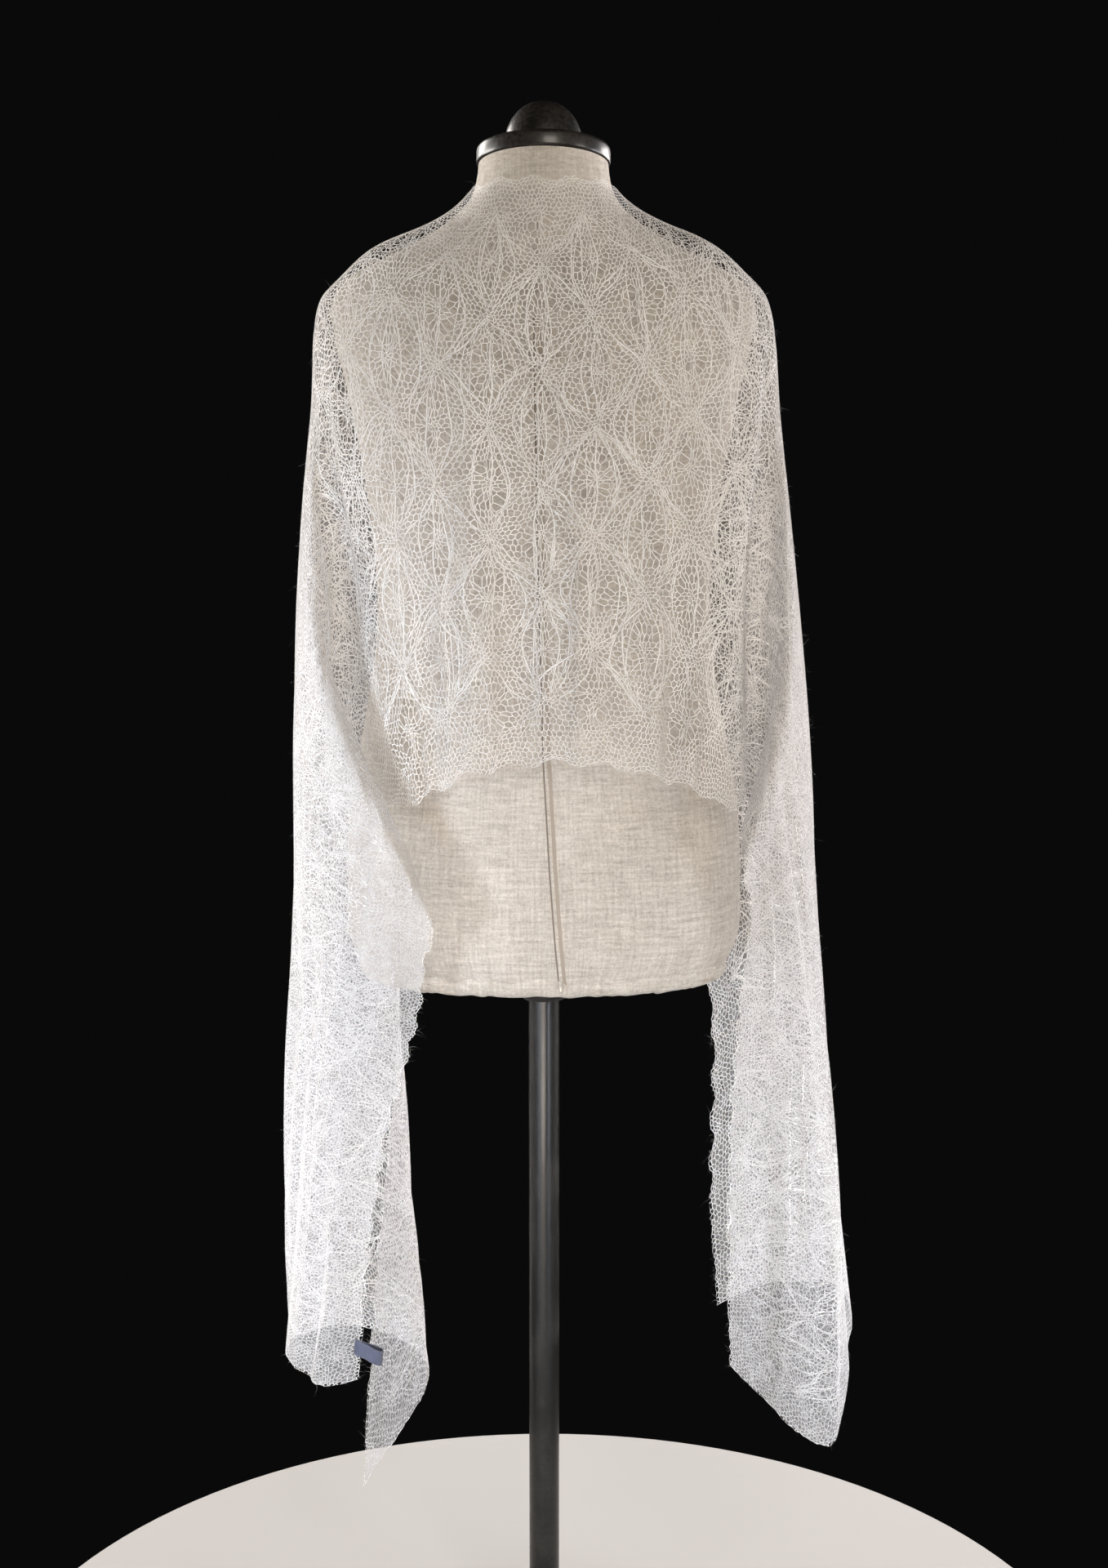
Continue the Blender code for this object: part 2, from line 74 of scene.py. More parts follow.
class Section(NamedTuple):
    """One section across the cloth: its distance from the centre back, and where its six lines lie."""

    along: float
    neck_edge: tuple[float, float, float]
    chest: tuple[float, float, float]
    shoulder: tuple[float, float, float]
    arm: tuple[float, float, float]
    flank: tuple[float, float, float]
    hem_edge: tuple[float, float, float]


class Fold(NamedTuple):
    """A soft fold that stands out of the cloth: its middle, its half sizes and its depth."""

    along: float
    across: float
    reach_along: float
    reach_across: float
    deep: float


class Eyelet(NamedTuple):
    """A yarn-over of the lace chart: its place from the motif's node, how far it opens and how it leans."""

    along: float
    across: float
    opening: float
    lean: float


class Pull(NamedTuple):
    """Where the lace is drawn together: its share of the motif's height, its strengths and its reach."""

    share: float
    soft: float
    sharp: float
    reach_along: float
    reach_across: float


class Spine(NamedTuple):
    """A line of decreases that leaves a node: its lean from the cloth's width, its length and its pull."""

    lean: float
    length: float
    tight: float


class Strand(NamedTuple):
    """A bold strand that leaves a node: how many columns aside it ends, and how far it bows out."""

    columns: int
    bow: float


class Ring(NamedTuple):
    """A ring of the torso: height, half width, reach to the back and to the front, and squareness."""

    height: float
    half_width: float
    back: float
    front: float
    power: float


class Spot(NamedTuple):
    """A point across a strip: how far aside of its line, and how far off its surface."""

    aside: float
    out: float


class RimTurn(NamedTuple):
    """A turn of the gathered rim: its lift, how far out it is, and its share of the gathers."""

    lift: float
    out: float
    share: float


class Lamp(NamedTuple):
    """A soft lamp: where it stands and looks, its two sides, its watts, its spread and its colour."""

    name: str
    place: tuple[float, float, float]
    aim: tuple[float, float, float]
    size: tuple[float, float]
    watts: float
    spread: float
    colour: tuple[float, float, float]


class Turn(NamedTuple):
    """A point of a turned profile."""

    radius: float
    height: float


CENTRE_SECTIONS = (
    Section(0.000, (0.000, -0.078, 1.427), (0.000, -0.108, 1.330), (0.000, -0.122, 1.226),
            (0.000, -0.131, 1.122), (0.000, -0.138, 1.018), (0.000, -0.143, 0.917)),
)

LEFT_SECTIONS = (
    Section(0.065, (0.048, -0.059, 1.426), (0.062, -0.104, 1.340), (0.066, -0.121, 1.234),
            (0.066, -0.133, 1.128), (0.064, -0.139, 1.020), (0.060, -0.144, 0.908)),
    Section(0.130, (0.0700, -0.002, 1.4195), (0.117, -0.077, 1.358), (0.128, -0.110, 1.252),
            (0.126, -0.126, 1.142), (0.119, -0.134, 1.022), (0.108, -0.139, 0.884)),
    Section(0.200, (0.0825, 0.045, 1.389), (0.160, -0.024, 1.3665), (0.178, -0.082, 1.280),
            (0.171, -0.106, 1.165), (0.153, -0.111, 1.030), (0.142, -0.106, 0.876)),
    Section(0.260, (0.088, 0.078, 1.346), (0.180, 0.024, 1.344), (0.200, -0.042, 1.312),
            (0.188, -0.080, 1.202), (0.170, -0.068, 1.055), (0.178, -0.062, 0.884)),
    Section(0.310, (0.091, 0.100, 1.306), (0.184, 0.062, 1.314), (0.208, -0.010, 1.302),
            (0.197, -0.073, 1.204), (0.188, -0.066, 1.064), (0.196, -0.068, 0.886)),
    Section(0.380, (0.096, 0.126, 1.240), (0.178, 0.102, 1.240), (0.210, 0.030, 1.245),
            (0.207, -0.068, 1.182), (0.192, -0.109, 1.052), (0.172, -0.124, 0.872)),
    Section(0.440, (0.099, 0.139, 1.187), (0.179, 0.118, 1.183), (0.215, 0.040, 1.192),
            (0.213, -0.067, 1.136), (0.190, -0.134, 1.018), (0.122, -0.145, 0.850)),
    Section(0.500, (0.102, 0.148, 1.130), (0.180, 0.132, 1.120), (0.219, 0.050, 1.135),
            (0.218, -0.066, 1.085), (0.184, -0.158, 0.975), (0.098, -0.186, 0.802)),
    Section(0.660, (0.110, 0.152, 0.975), (0.184, 0.140, 0.960), (0.227, 0.060, 0.960),
            (0.228, -0.048, 0.940), (0.194, -0.136, 0.875), (0.100, -0.168, 0.748)),
    Section(0.840, (0.134, 0.130, 0.770), (0.176, 0.138, 0.765), (0.230, 0.070, 0.765),
            (0.231, -0.035, 0.760), (0.188, -0.122, 0.740), (0.111, -0.142, 0.682)),
    Section(1.000, (0.150, 0.086, 0.565), (0.145, 0.128, 0.580), (0.208, 0.122, 0.585),
            (0.239, 0.000, 0.585), (0.200, -0.102, 0.580), (0.140, -0.120, 0.575)),
    Section(1.130, (0.170, 0.058, 0.370), (0.128, 0.110, 0.405), (0.198, 0.128, 0.430),
            (0.247, 0.014, 0.440), (0.208, -0.096, 0.445), (0.158, -0.112, 0.455)),
    Section(1.250, (0.181, 0.046, 0.170), (0.117, 0.098, 0.268), (0.188, 0.130, 0.305),
            (0.252, 0.020, 0.331), (0.214, -0.088, 0.336), (0.170, -0.104, 0.345)),
)

RIGHT_SECTIONS = (
    Section(0.065, (0.046, -0.061, 1.427), (0.060, -0.104, 1.341), (0.066, -0.121, 1.236),
            (0.066, -0.133, 1.130), (0.065, -0.139, 1.022), (0.064, -0.144, 0.914)),
    Section(0.130, (0.0675, -0.006, 1.4235), (0.114, -0.077, 1.362), (0.130, -0.110, 1.256),
            (0.131, -0.126, 1.146), (0.128, -0.134, 1.026), (0.122, -0.140, 0.896)),
    Section(0.200, (0.0800, 0.041, 1.395), (0.158, -0.026, 1.370), (0.180, -0.080, 1.284),
            (0.178, -0.106, 1.170), (0.172, -0.114, 1.030), (0.170, -0.114, 0.872)),
    Section(0.260, (0.086, 0.076, 1.351), (0.181, 0.022, 1.347), (0.201, -0.042, 1.312),
            (0.194, -0.078, 1.204), (0.184, -0.062, 1.050), (0.188, -0.058, 0.878)),
    Section(0.310, (0.090, 0.098, 1.310), (0.186, 0.060, 1.316), (0.209, -0.010, 1.302),
            (0.204, -0.070, 1.202), (0.199, -0.058, 1.056), (0.201, -0.054, 0.878)),
    Section(0.380, (0.096, 0.125, 1.240), (0.180, 0.100, 1.240), (0.211, 0.030, 1.245),
            (0.214, -0.064, 1.180), (0.208, -0.104, 1.048), (0.191, -0.114, 0.872)),
    Section(0.440, (0.100, 0.138, 1.187), (0.182, 0.117, 1.184), (0.217, 0.042, 1.188),
            (0.220, -0.061, 1.135), (0.211, -0.123, 1.016), (0.172, -0.140, 0.860)),
    Section(0.500, (0.104, 0.147, 1.130), (0.184, 0.130, 1.120), (0.224, 0.052, 1.130),
            (0.226, -0.058, 1.085), (0.212, -0.140, 0.975), (0.170, -0.172, 0.838)),
    Section(0.660, (0.116, 0.151, 0.975), (0.192, 0.138, 0.960), (0.242, 0.062, 0.955),
            (0.243, -0.036, 0.935), (0.216, -0.120, 0.880), (0.181, -0.142, 0.784)),
    Section(0.840, (0.148, 0.144, 0.780), (0.203, 0.126, 0.770), (0.252, 0.064, 0.765),
            (0.256, -0.026, 0.755), (0.232, -0.098, 0.730), (0.172, -0.118, 0.692)),
    Section(1.000, (0.168, 0.126, 0.610), (0.212, 0.112, 0.605), (0.262, 0.070, 0.600),
            (0.268, -0.012, 0.590), (0.246, -0.090, 0.570), (0.166, -0.106, 0.560)),
    Section(1.130, (0.166, 0.112, 0.460), (0.218, 0.110, 0.465), (0.278, 0.072, 0.470),
            (0.284, -0.006, 0.462), (0.256, -0.084, 0.410), (0.167, -0.102, 0.448)),
    Section(1.250, (0.175, 0.102, 0.338), (0.226, 0.104, 0.360), (0.286, 0.068, 0.372),
            (0.297, -0.004, 0.360), (0.264, -0.080, 0.272), (0.171, -0.100, 0.357)),
)

FOLDS = (
    Fold(-0.062, 0.80, 0.026, 0.60, -0.011),
    Fold(-0.020, 0.86, 0.020, 0.50, 0.007),
    Fold(0.034, 0.84, 0.022, 0.50, -0.010),
    Fold(0.082, 0.90, 0.024, 0.40, 0.006),
    Fold(0.118, 0.96, 0.014, 0.30, 0.010),
    Fold(0.146, 0.92, 0.016, 0.34, -0.007),
    Fold(-0.106, 0.92, 0.020, 0.34, 0.007),
    Fold(-1.000, 0.56, 0.400, 0.05, -0.011),
    Fold(-1.000, 0.70, 0.400, 0.05, 0.009),
    Fold(-1.120, 0.86, 0.300, 0.05, 0.010),
    Fold(-0.800, 0.34, 0.300, 0.06, 0.007),
    Fold(-0.700, 0.46, 0.360, 0.05, 0.007),
    Fold(1.000, 0.50, 0.400, 0.05, 0.010),
    Fold(1.060, 0.90, 0.340, 0.06, 0.009),
    Fold(0.980, 0.70, 0.400, 0.05, -0.011),
    Fold(0.950, 0.28, 0.420, 0.06, -0.010),
    Fold(0.700, 0.60, 0.340, 0.05, 0.007),
)

CREASES = (
    Fold(-0.046, 0.78, 0.013, 0.38, -0.0065),
    Fold(-0.010, 0.88, 0.010, 0.26, 0.0045),
    Fold(0.029, 0.80, 0.011, 0.36, -0.0065),
    Fold(0.062, 0.86, 0.011, 0.26, 0.0040),
    Fold(0.096, 0.78, 0.012, 0.30, -0.0060),
    Fold(0.130, 0.92, 0.009, 0.20, 0.0050),
    Fold(-0.088, 0.86, 0.013, 0.28, -0.0045),
    Fold(-0.126, 0.94, 0.010, 0.20, 0.0050),
    Fold(-0.245, 0.62, 0.030, 0.16, 0.0035),
    Fold(-0.300, 0.72, 0.022, 0.14, -0.0040),
    Fold(0.238, 0.66, 0.028, 0.14, 0.0035),
    Fold(0.292, 0.74, 0.024, 0.16, -0.0040),
    Fold(-0.62, 0.83, 0.20, 0.030, 0.0055),
    Fold(-0.58, 0.66, 0.16, 0.028, -0.0050),
    Fold(-0.74, 0.92, 0.15, 0.028, -0.0045),
    Fold(-0.86, 0.77, 0.24, 0.026, 0.0055),
    Fold(-1.06, 0.64, 0.17, 0.024, -0.0050),
    Fold(-1.12, 0.88, 0.11, 0.026, 0.0040),
    Fold(-0.94, 0.14, 0.26, 0.030, 0.0045),
    Fold(-0.66, 0.24, 0.22, 0.034, -0.0050),
    Fold(-1.10, 0.40, 0.15, 0.026, 0.0050),
    Fold(0.60, 0.78, 0.18, 0.028, 0.0050),
    Fold(0.68, 0.90, 0.14, 0.026, -0.0045),
    Fold(0.82, 0.63, 0.22, 0.026, -0.0050),
    Fold(0.93, 0.82, 0.20, 0.024, 0.0055),
    Fold(1.12, 0.74, 0.12, 0.028, 0.0045),
    Fold(0.76, 0.18, 0.24, 0.030, 0.0045),
    Fold(1.04, 0.34, 0.18, 0.030, -0.0050),
    Fold(0.56, 0.36, 0.15, 0.030, 0.0045),
)

TORSO_RINGS = (
    Ring(0.715, 0.168, 0.116, 0.110, 2.3),
    Ring(0.730, 0.177, 0.123, 0.115, 2.3),
    Ring(0.800, 0.184, 0.127, 0.118, 2.3),
    Ring(0.880, 0.179, 0.119, 0.113, 2.3),
    Ring(0.960, 0.164, 0.104, 0.104, 2.3),
    Ring(1.040, 0.154, 0.096, 0.100, 2.3),
    Ring(1.120, 0.158, 0.100, 0.116, 2.3),
    Ring(1.190, 0.168, 0.107, 0.133, 2.3),
    Ring(1.250, 0.180, 0.110, 0.118, 2.3),
    Ring(1.295, 0.190, 0.104, 0.088, 2.3),
    Ring(1.325, 0.192, 0.092, 0.068, 2.2),
    Ring(1.346, 0.178, 0.080, 0.058, 2.1),
    Ring(1.362, 0.150, 0.072, 0.054, 2.0),
    Ring(1.378, 0.117, 0.067, 0.053, 2.0),
    Ring(1.396, 0.087, 0.064, 0.053, 2.0),
    Ring(1.416, 0.067, 0.062, 0.054, 2.0),
    Ring(1.434, 0.0605, 0.0605, 0.056, 2.0),
    Ring(1.447, 0.0590, 0.0600, 0.0570, 2.0),
)


LAMPS = (
    Lamp("window_left", (-2.8, 0.7, 1.3), (-0.1, 0.0, 0.8), (1.4, 1.4),
         100.0, 180.0, (1.0, 0.95, 0.90)),
    Lamp("window_right", (2.8, 0.6, 1.0), (0.2, 0.0, 0.75), (1.4, 1.4),
         38.0, 180.0, (0.97, 0.95, 1.0)),
    Lamp("side_right", (2.4, -1.1, 1.7), (0.0, 0.0, 1.0), (0.7, 0.7),
         17.0, 180.0, (1.0, 0.93, 0.85)),
    Lamp("front_warm", (0.7, -3.2, 2.5), (0.0, 0.0, 1.2), (1.2, 1.2),
         57.0, 180.0, (1.0, 0.92, 0.81)),
    Lamp("fall_left", (-0.95, -1.35, 0.66), (-0.24, -0.05, 0.66), (0.2, 1.0),
         1.6, 30.0, (0.76, 0.86, 1.0)),
    Lamp("fall_right", (1.00, -1.35, 0.40), (0.28, -0.04, 0.42), (0.2, 0.6),
         1.0, 34.0, (0.76, 0.86, 1.0)),
    Lamp("rim_left", (-1.7, 1.5, 2.0), (-0.1, 0.0, 1.2), (1.0, 1.0),
         34.0, 180.0, (1.0, 0.96, 0.92)),
    Lamp("rim_right", (1.8, 1.6, 1.4), (0.1, 0.0, 0.8), (1.2, 1.2),
         62.0, 180.0, (1.0, 0.94, 0.92)),
    Lamp("low_fill", (-0.2, -1.9, 0.12), (0.0, -0.1, 0.74), (1.2, 0.3),
         2.3, 60.0, (1.0, 0.90, 0.80)),
)


# Shader nodes and finishes


class Value:
    """A node's output that takes part in Python arithmetic, adding its Math nodes."""

    def __init__(self, nodes: Nodes, socket: bpy.types.NodeSocket) -> None:
        """Keep the socket and the node tree that it belongs to."""
        self.nodes = nodes
        self.socket = socket

    def joined(self, operation: str, *others: Value | float) -> Value:
        """A Math node on this value.

        Args:
            operation: The Math node's operation.
            others: The node's further inputs, in order.

        Returns:
            The node's result.
        """
        inputs = dict(enumerate((self, *others)))
        return self.nodes.out("ShaderNodeMath", {"operation": operation}, inputs)

    def __add__(self, other: Value | float) -> Value:
        """This value plus another."""
        return self.joined("ADD", other)

    def __radd__(self, other: float) -> Value:
        """A number plus this value."""
        return self.joined("ADD", other)

    def __sub__(self, other: Value | float) -> Value:
        """This value less another."""
        return self.joined("SUBTRACT", other)

    def __rsub__(self, other: float) -> Value:
        """A number less this value."""
        return (self * -1.0).joined("ADD", other)

    def __mul__(self, other: Value | float) -> Value:
        """This value times another."""
        return self.joined("MULTIPLY", other)

    def __rmul__(self, other: float) -> Value:
        """A number times this value."""
        return self.joined("MULTIPLY", other)

    def __truediv__(self, other: Value | float) -> Value:
        """This value over another."""
        return self.joined("DIVIDE", other)

    def clamped(self) -> Value:
        """This value held between 0 and 1."""
        return self.joined("ADD", 0.0).held()

    def held(self) -> Value:
        """The same Math node with its clamp turned on."""
        self.socket.node.use_clamp = True
        return self


class Nodes:
    """The node tree of one material, and the few ways in which nodes join it."""

    def __init__(self, tree: bpy.types.NodeTree) -> None:
        """Keep the tree."""
        self.tree = tree

    def node(self, kind: str, settings: dict[str, Any], inputs: dict[Any, Any]) -> bpy.types.Node:
        """Add one node.

        Args:
            kind: The node's type.
            settings: Its properties, set first; "stops" fills a colour ramp.
            inputs: Values or links of its sockets, by name or number.

        Returns:
            The node.
        """
        made = self.tree.nodes.new(kind)
        for name, value in settings.items():
            if name == "stops":
                self.fill_ramp(made.color_ramp, value)
            else:
                setattr(made, name, value)
        for name, value in inputs.items():
            if isinstance(value, Value):
                self.tree.links.new(value.socket, made.inputs[name])
            else:
                made.inputs[name].default_value = value
        return made

    def fill_ramp(self, ramp: bpy.types.ColorRamp, stops: Sequence[tuple[float, float]]) -> None:
        """Give a colour ramp these (place, grey) stops."""
        for element, (place, _) in zip(ramp.elements, (stops[0], stops[-1])):
            element.position = place
        for place, _ in stops[1:-1]:
            ramp.elements.new(place)
        for element, (_, grey) in zip(ramp.elements, stops):
            element.color = (grey, grey, grey, 1.0)

    def out(self, kind: str, settings: dict[str, Any], inputs: dict[Any, Any], socket: Any = 0) -> Value:
        """Add one node and return one of its outputs."""
        return Value(self, self.node(kind, settings, inputs).outputs[socket])

    def place(self, space: Space, stretch: tuple[float, float, float] = (1.0, 1.0, 1.0)) -> Value:
        """Coordinates for a pattern, scaled along each axis."""
        if space is Space.CLOTH:
            start = self.out("ShaderNodeUVMap", {"uv_map": CLOTH_MAP}, {})
        else:
            start = self.out("ShaderNodeTexCoord", {}, {}, "Object")
        return self.out("ShaderNodeMapping", {}, {"Vector": start, "Scale": stretch})

    def noise(self, place: Value, scale: float, detail: float = 2.0, roughness: float = 0.5) -> Value:
        """Noise from 0 to 1 about 0.5."""
        inputs = {"Vector": place, "Scale": scale, "Detail": detail, "Roughness": roughness}
        return self.out("ShaderNodeTexNoise", {}, inputs, 0)

    def attribute(self, name: str) -> Value:
        """A number that the mesh holds at each of its corners."""
        return self.out("ShaderNodeAttribute", {"attribute_name": name}, {}, "Fac")

    def stripes(self, place: Value, axis: int, per_metre: float) -> Value:
        """Even round ridges from 0 to 1 across one axis of a place."""
        parts = self.node("ShaderNodeSeparateXYZ", {}, {0: place})
        run = Value(self, parts.outputs[axis])
        return (run * (per_metre * math.tau)).joined("SINE") * 0.5 + 0.5

    def ramp(self, value: Value, stops: Sequence[tuple[float, float]]) -> Value:
        """A value turned through (place, grey) stops."""
        return self.out("ShaderNodeValToRGB", {"stops": stops}, {0: value})

    def blend(self, share: Value, first: Any, second: Any) -> Value:
        """A colour between two."""
        pair = [(*c, 1.0) if isinstance(c, tuple) else c for c in (first, second)]
        inputs = {0: share, 6: pair[0], 7: pair[1]}
        return self.out("ShaderNodeMix", {"data_type": "RGBA"}, inputs, 2)

    def bump(self, height: Value, strength: float, distance: float) -> Value:
        """A normal from a height."""
        inputs = {"Height": height, "Strength": strength, "Distance": distance}
        return self.out("ShaderNodeBump", {}, inputs)


@dataclass(frozen=True)
class Finish:
    """A surface finish: one Principled material, built once."""

    name: str
    roughness: float = 0.5

    def make(self) -> bpy.types.Material:
        """The material, dressed on its first use."""
        found = bpy.data.materials.get(self.name)
        if found:
            return found
        made = bpy.data.materials.new(self.name)
        made.use_nodes = True
        shader = made.node_tree.nodes["Principled BSDF"]
        shader.inputs["Roughness"].default_value = self.roughness
        self.dress(Nodes(made.node_tree), shader)
        return made

    def dress(self, nodes: Nodes, shader: bpy.types.Node) -> None:
        """Feed the shader's sockets."""
        raise NotImplementedError

    def feed(self, nodes: Nodes, shader: bpy.types.Node, **values: Any) -> None:
        """Set or link sockets of the shader; an underscore in a name stands for a space."""
        for name, value in values.items():
            socket = shader.inputs[name.replace("_", " ")]
            if isinstance(value, Value):
                nodes.tree.links.new(value.socket, socket)
            else:
                socket.default_value = value


@dataclass(frozen=True)
class MohairYarn(Finish):
    """Brushed white mohair: an opaque core that frays into a thin haze of fibres at each side."""

    roughness: float = 0.95
    light: tuple[float, float, float] = (0.90, 0.885, 0.875)
    shade: tuple[float, float, float] = (0.76, 0.74, 0.725)
    core: float = 0.36
    haze: float = 0.05

    def dress(self, nodes: Nodes, shader: bpy.types.Node) -> None:
        """Feed colour, cover and fibre relief."""
        place = nodes.place(Space.OBJECT)
        fibre = nodes.noise(place, 1500.0, 2.0, 0.6)
        cloud = nodes.noise(place, 42.0, 3.0, 0.55)
        frayed = nodes.attribute("across_yarn") + (fibre - 0.5) * 0.5
        stops = ((self.core - 0.12, 1.0), (self.core + 0.14, self.haze), (1.0, self.haze * 0.3))
        tone = (cloud * 1.6 - 0.3 + (fibre - 0.5) * 0.5).clamped()
        self.feed(
            nodes, shader,
            Base_Color=nodes.blend(tone, self.shade, self.light),
            Alpha=nodes.ramp(frayed, stops),
            Normal=nodes.bump(fibre, 0.5, 0.0003),
            Sheen_Weight=0.35,
            Sheen_Roughness=0.5,
            Specular_IOR_Level=0.15,
        )


@dataclass(frozen=True)
class MohairHair(Finish):
    """Single fibres that stand off the yarn."""

    roughness: float = 0.8
    colour: tuple[float, float, float] = (0.92, 0.91, 0.91)
    cover: float = 0.55

    def dress(self, nodes: Nodes, shader: bpy.types.Node) -> None:
        """Feed colour and cover, thinner towards a fibre's tip."""
        tip = nodes.attribute("towards_tip")
        cloud = nodes.noise(nodes.place(Space.OBJECT), 60.0, 2.0)
        lighter = tuple(min(1.0, c * 1.05) for c in self.colour)
        darker = tuple(c * 0.86 for c in self.colour)
        self.feed(
            nodes, shader,
            Base_Color=nodes.blend(cloud, darker, lighter),
            Alpha=(1.0 - tip * 0.75) * self.cover,
            Specular_IOR_Level=0.2,
        )


@dataclass(frozen=True)
class MohairNapAndShade(Finish):
    """Single fibres that cross the open cells in a finer, fainter net, over a thin film on the falls; their
    grey, darker than the yarn's white, is painted shade between the yarns.
    """

    roughness: float = 1.0
    # Grey, darker than the yarn's white: painted shade between the yarns.
    colour: tuple[float, float, float] = (0.66, 0.645, 0.645)
    cells_per_metre: float = 330.0
    cover: float = 0.13
    full: float = 0.26
    full_cover: float = 0.20

    def dress(self, nodes: Nodes, shader: bpy.types.Node) -> None:
        """Feed colour and cover from the edges of irregular cells, denser on the hanging ends, where the
        grey film paints the shade in the gaps.
        """
        cloth = nodes.place(Space.CLOTH)
        sway = nodes.out("ShaderNodeTexNoise", {}, {"Vector": cloth, "Scale": 160.0, "Detail": 2.0}, 1)
        shift = nodes.out("ShaderNodeVectorMath", {"operation": "SCALE"}, {0: sway, "Scale": 0.006})
        place = nodes.out("ShaderNodeVectorMath", {"operation": "ADD"}, {0: cloth, 1: shift})
        inputs = {"Vector": place, "Scale": self.cells_per_metre, "Randomness": 0.9}
        apart = nodes.out("ShaderNodeTexVoronoi", {"feature": "DISTANCE_TO_EDGE"}, inputs)
        fibre = nodes.ramp(apart, ((0.0, 1.0), (0.04, 0.8), (0.10, 0.0)))
        patch = nodes.ramp(nodes.noise(cloth, 70.0, 2.0), ((0.0, 0.15), (0.42, 0.15), (0.62, 1.0)))
        along = Value(nodes, nodes.node("ShaderNodeSeparateXYZ", {}, {0: cloth}).outputs[0])
        hangs = ((along * along - 0.035) / 0.12).clamped()
        shade = tuple(c * 0.88 for c in self.colour)
        self.feed(
            nodes, shader,
            Base_Color=nodes.blend(patch, shade, self.colour),
            Alpha=fibre * patch * self.cover + hangs * (fibre * self.full_cover + patch * 0.05 + self.full),
            Sheen_Weight=0.3,
            Specular_IOR_Level=0.1,
        )


@dataclass(frozen=True)
class LinenWeave(Finish):
    """Unbleached linen: a plain weave with slubs and uneven threads."""

    roughness: float = 0.9
    light: tuple[float, float, float] = (0.73, 0.68, 0.62)
    dark: tuple[float, float, float] = (0.33, 0.295, 0.25)
    fleck: tuple[float, float, float] = (0.25, 0.20, 0.16)
    threads_per_metre: float = 1100.0

    def dress(self, nodes: Nodes, shader: bpy.types.Node) -> None:
        """Feed colour and relief from warp, weft and slubs."""
        cloth = nodes.place(Space.CLOTH)
        warp = nodes.stripes(cloth, 0, self.threads_per_metre)
        weft = nodes.stripes(cloth, 1, self.threads_per_metre)
        weave = warp * weft + (1.0 - warp) * (1.0 - weft)
        weft_slub = nodes.noise(nodes.place(Space.CLOTH, (26.0, 280.0, 1.0)), 1.0, 4.0, 0.75)
        warp_slub = nodes.noise(nodes.place(Space.CLOTH, (260.0, 24.0, 1.0)), 1.0, 4.0, 0.75)
        grain = nodes.noise(cloth, 330.0, 3.0, 0.8)
        blotch = nodes.noise(cloth, 9.0, 3.0, 0.5)
        flecks = nodes.ramp(nodes.noise(cloth, 420.0, 1.0), ((0.0, 0.0), (0.67, 0.0), (0.74, 1.0)))
        threads = weft_slub * 1.5 + warp_slub * 1.1 + grain * 1.3
        tone = (threads + blotch * 0.4 + weave * 0.14 - 1.62).clamped()
        colour = nodes.blend(tone, self.dark, self.light)
        height = weave * 0.6 + weft_slub * 0.9 + warp_slub * 0.7
        self.feed(
            nodes, shader,
            Base_Color=nodes.blend(flecks * 0.4, colour, self.fleck),
            Normal=nodes.bump(height, 0.5, 0.0006),
            Sheen_Weight=0.1,
            Specular_IOR_Level=0.2,
        )


@dataclass(frozen=True)
class Lacquer(Finish):
    """Black lacquer over turned wood, lightly rubbed and dusty."""

    roughness: float = 0.36
    colour: tuple[float, float, float] = (0.010, 0.009, 0.008)
    rubbed: tuple[float, float, float] = (0.034, 0.029, 0.024)
    coat: float = 0.25

    def dress(self, nodes: Nodes, shader: bpy.types.Node) -> None:
        """Feed colour, roughness and a faint turning grain."""
        grain = nodes.noise(nodes.place(Space.OBJECT, (1.0, 1.0, 22.0)), 18.0, 4.0, 0.6)
        dust = nodes.noise(nodes.place(Space.OBJECT), 260.0, 4.0, 0.7)
        patch = nodes.noise(nodes.place(Space.OBJECT), 24.0, 2.0)
        wear = nodes.ramp(dust * 0.6 + patch * 0.5, ((0.0, 0.0), (0.52, 0.0), (0.72, 1.0)))
        self.feed(
            nodes, shader,
            Base_Color=nodes.blend(wear * 0.6, self.colour, self.rubbed),
            Roughness=grain * 0.16 + wear * 0.22 + (self.roughness - 0.10),
            Normal=nodes.bump(grain, 0.10, 0.0004),
            Specular_IOR_Level=0.35,
            Coat_Weight=self.coat,
            Coat_Roughness=0.16,
        )


@dataclass(frozen=True)
class SatinRibbon(Finish):
    """Grey satin ribbon: long floats along the ribbon over a fine cross rib."""

    roughness: float = 0.36
    light: tuple[float, float, float] = (0.13, 0.145, 0.22)
    dark: tuple[float, float, float] = (0.045, 0.05, 0.08)

    def dress(self, nodes: Nodes, shader: bpy.types.Node) -> None:
        """Feed colour, gloss and rib."""
        cloth = nodes.place(Space.CLOTH)
        rib = nodes.stripes(cloth, 0, 2600.0)
        thread = nodes.noise(nodes.place(Space.CLOTH, (3200.0, 160.0, 1.0)), 1.0, 2.0)
        self.feed(
            nodes, shader,
            Base_Color=nodes.blend((thread * 0.9 + rib * 0.2).clamped(), self.dark, self.light),
            Roughness=thread * 0.2 + (self.roughness - 0.1),
            Normal=nodes.bump(rib + thread, 0.25, 0.0002),
            Sheen_Weight=0.3,
        )


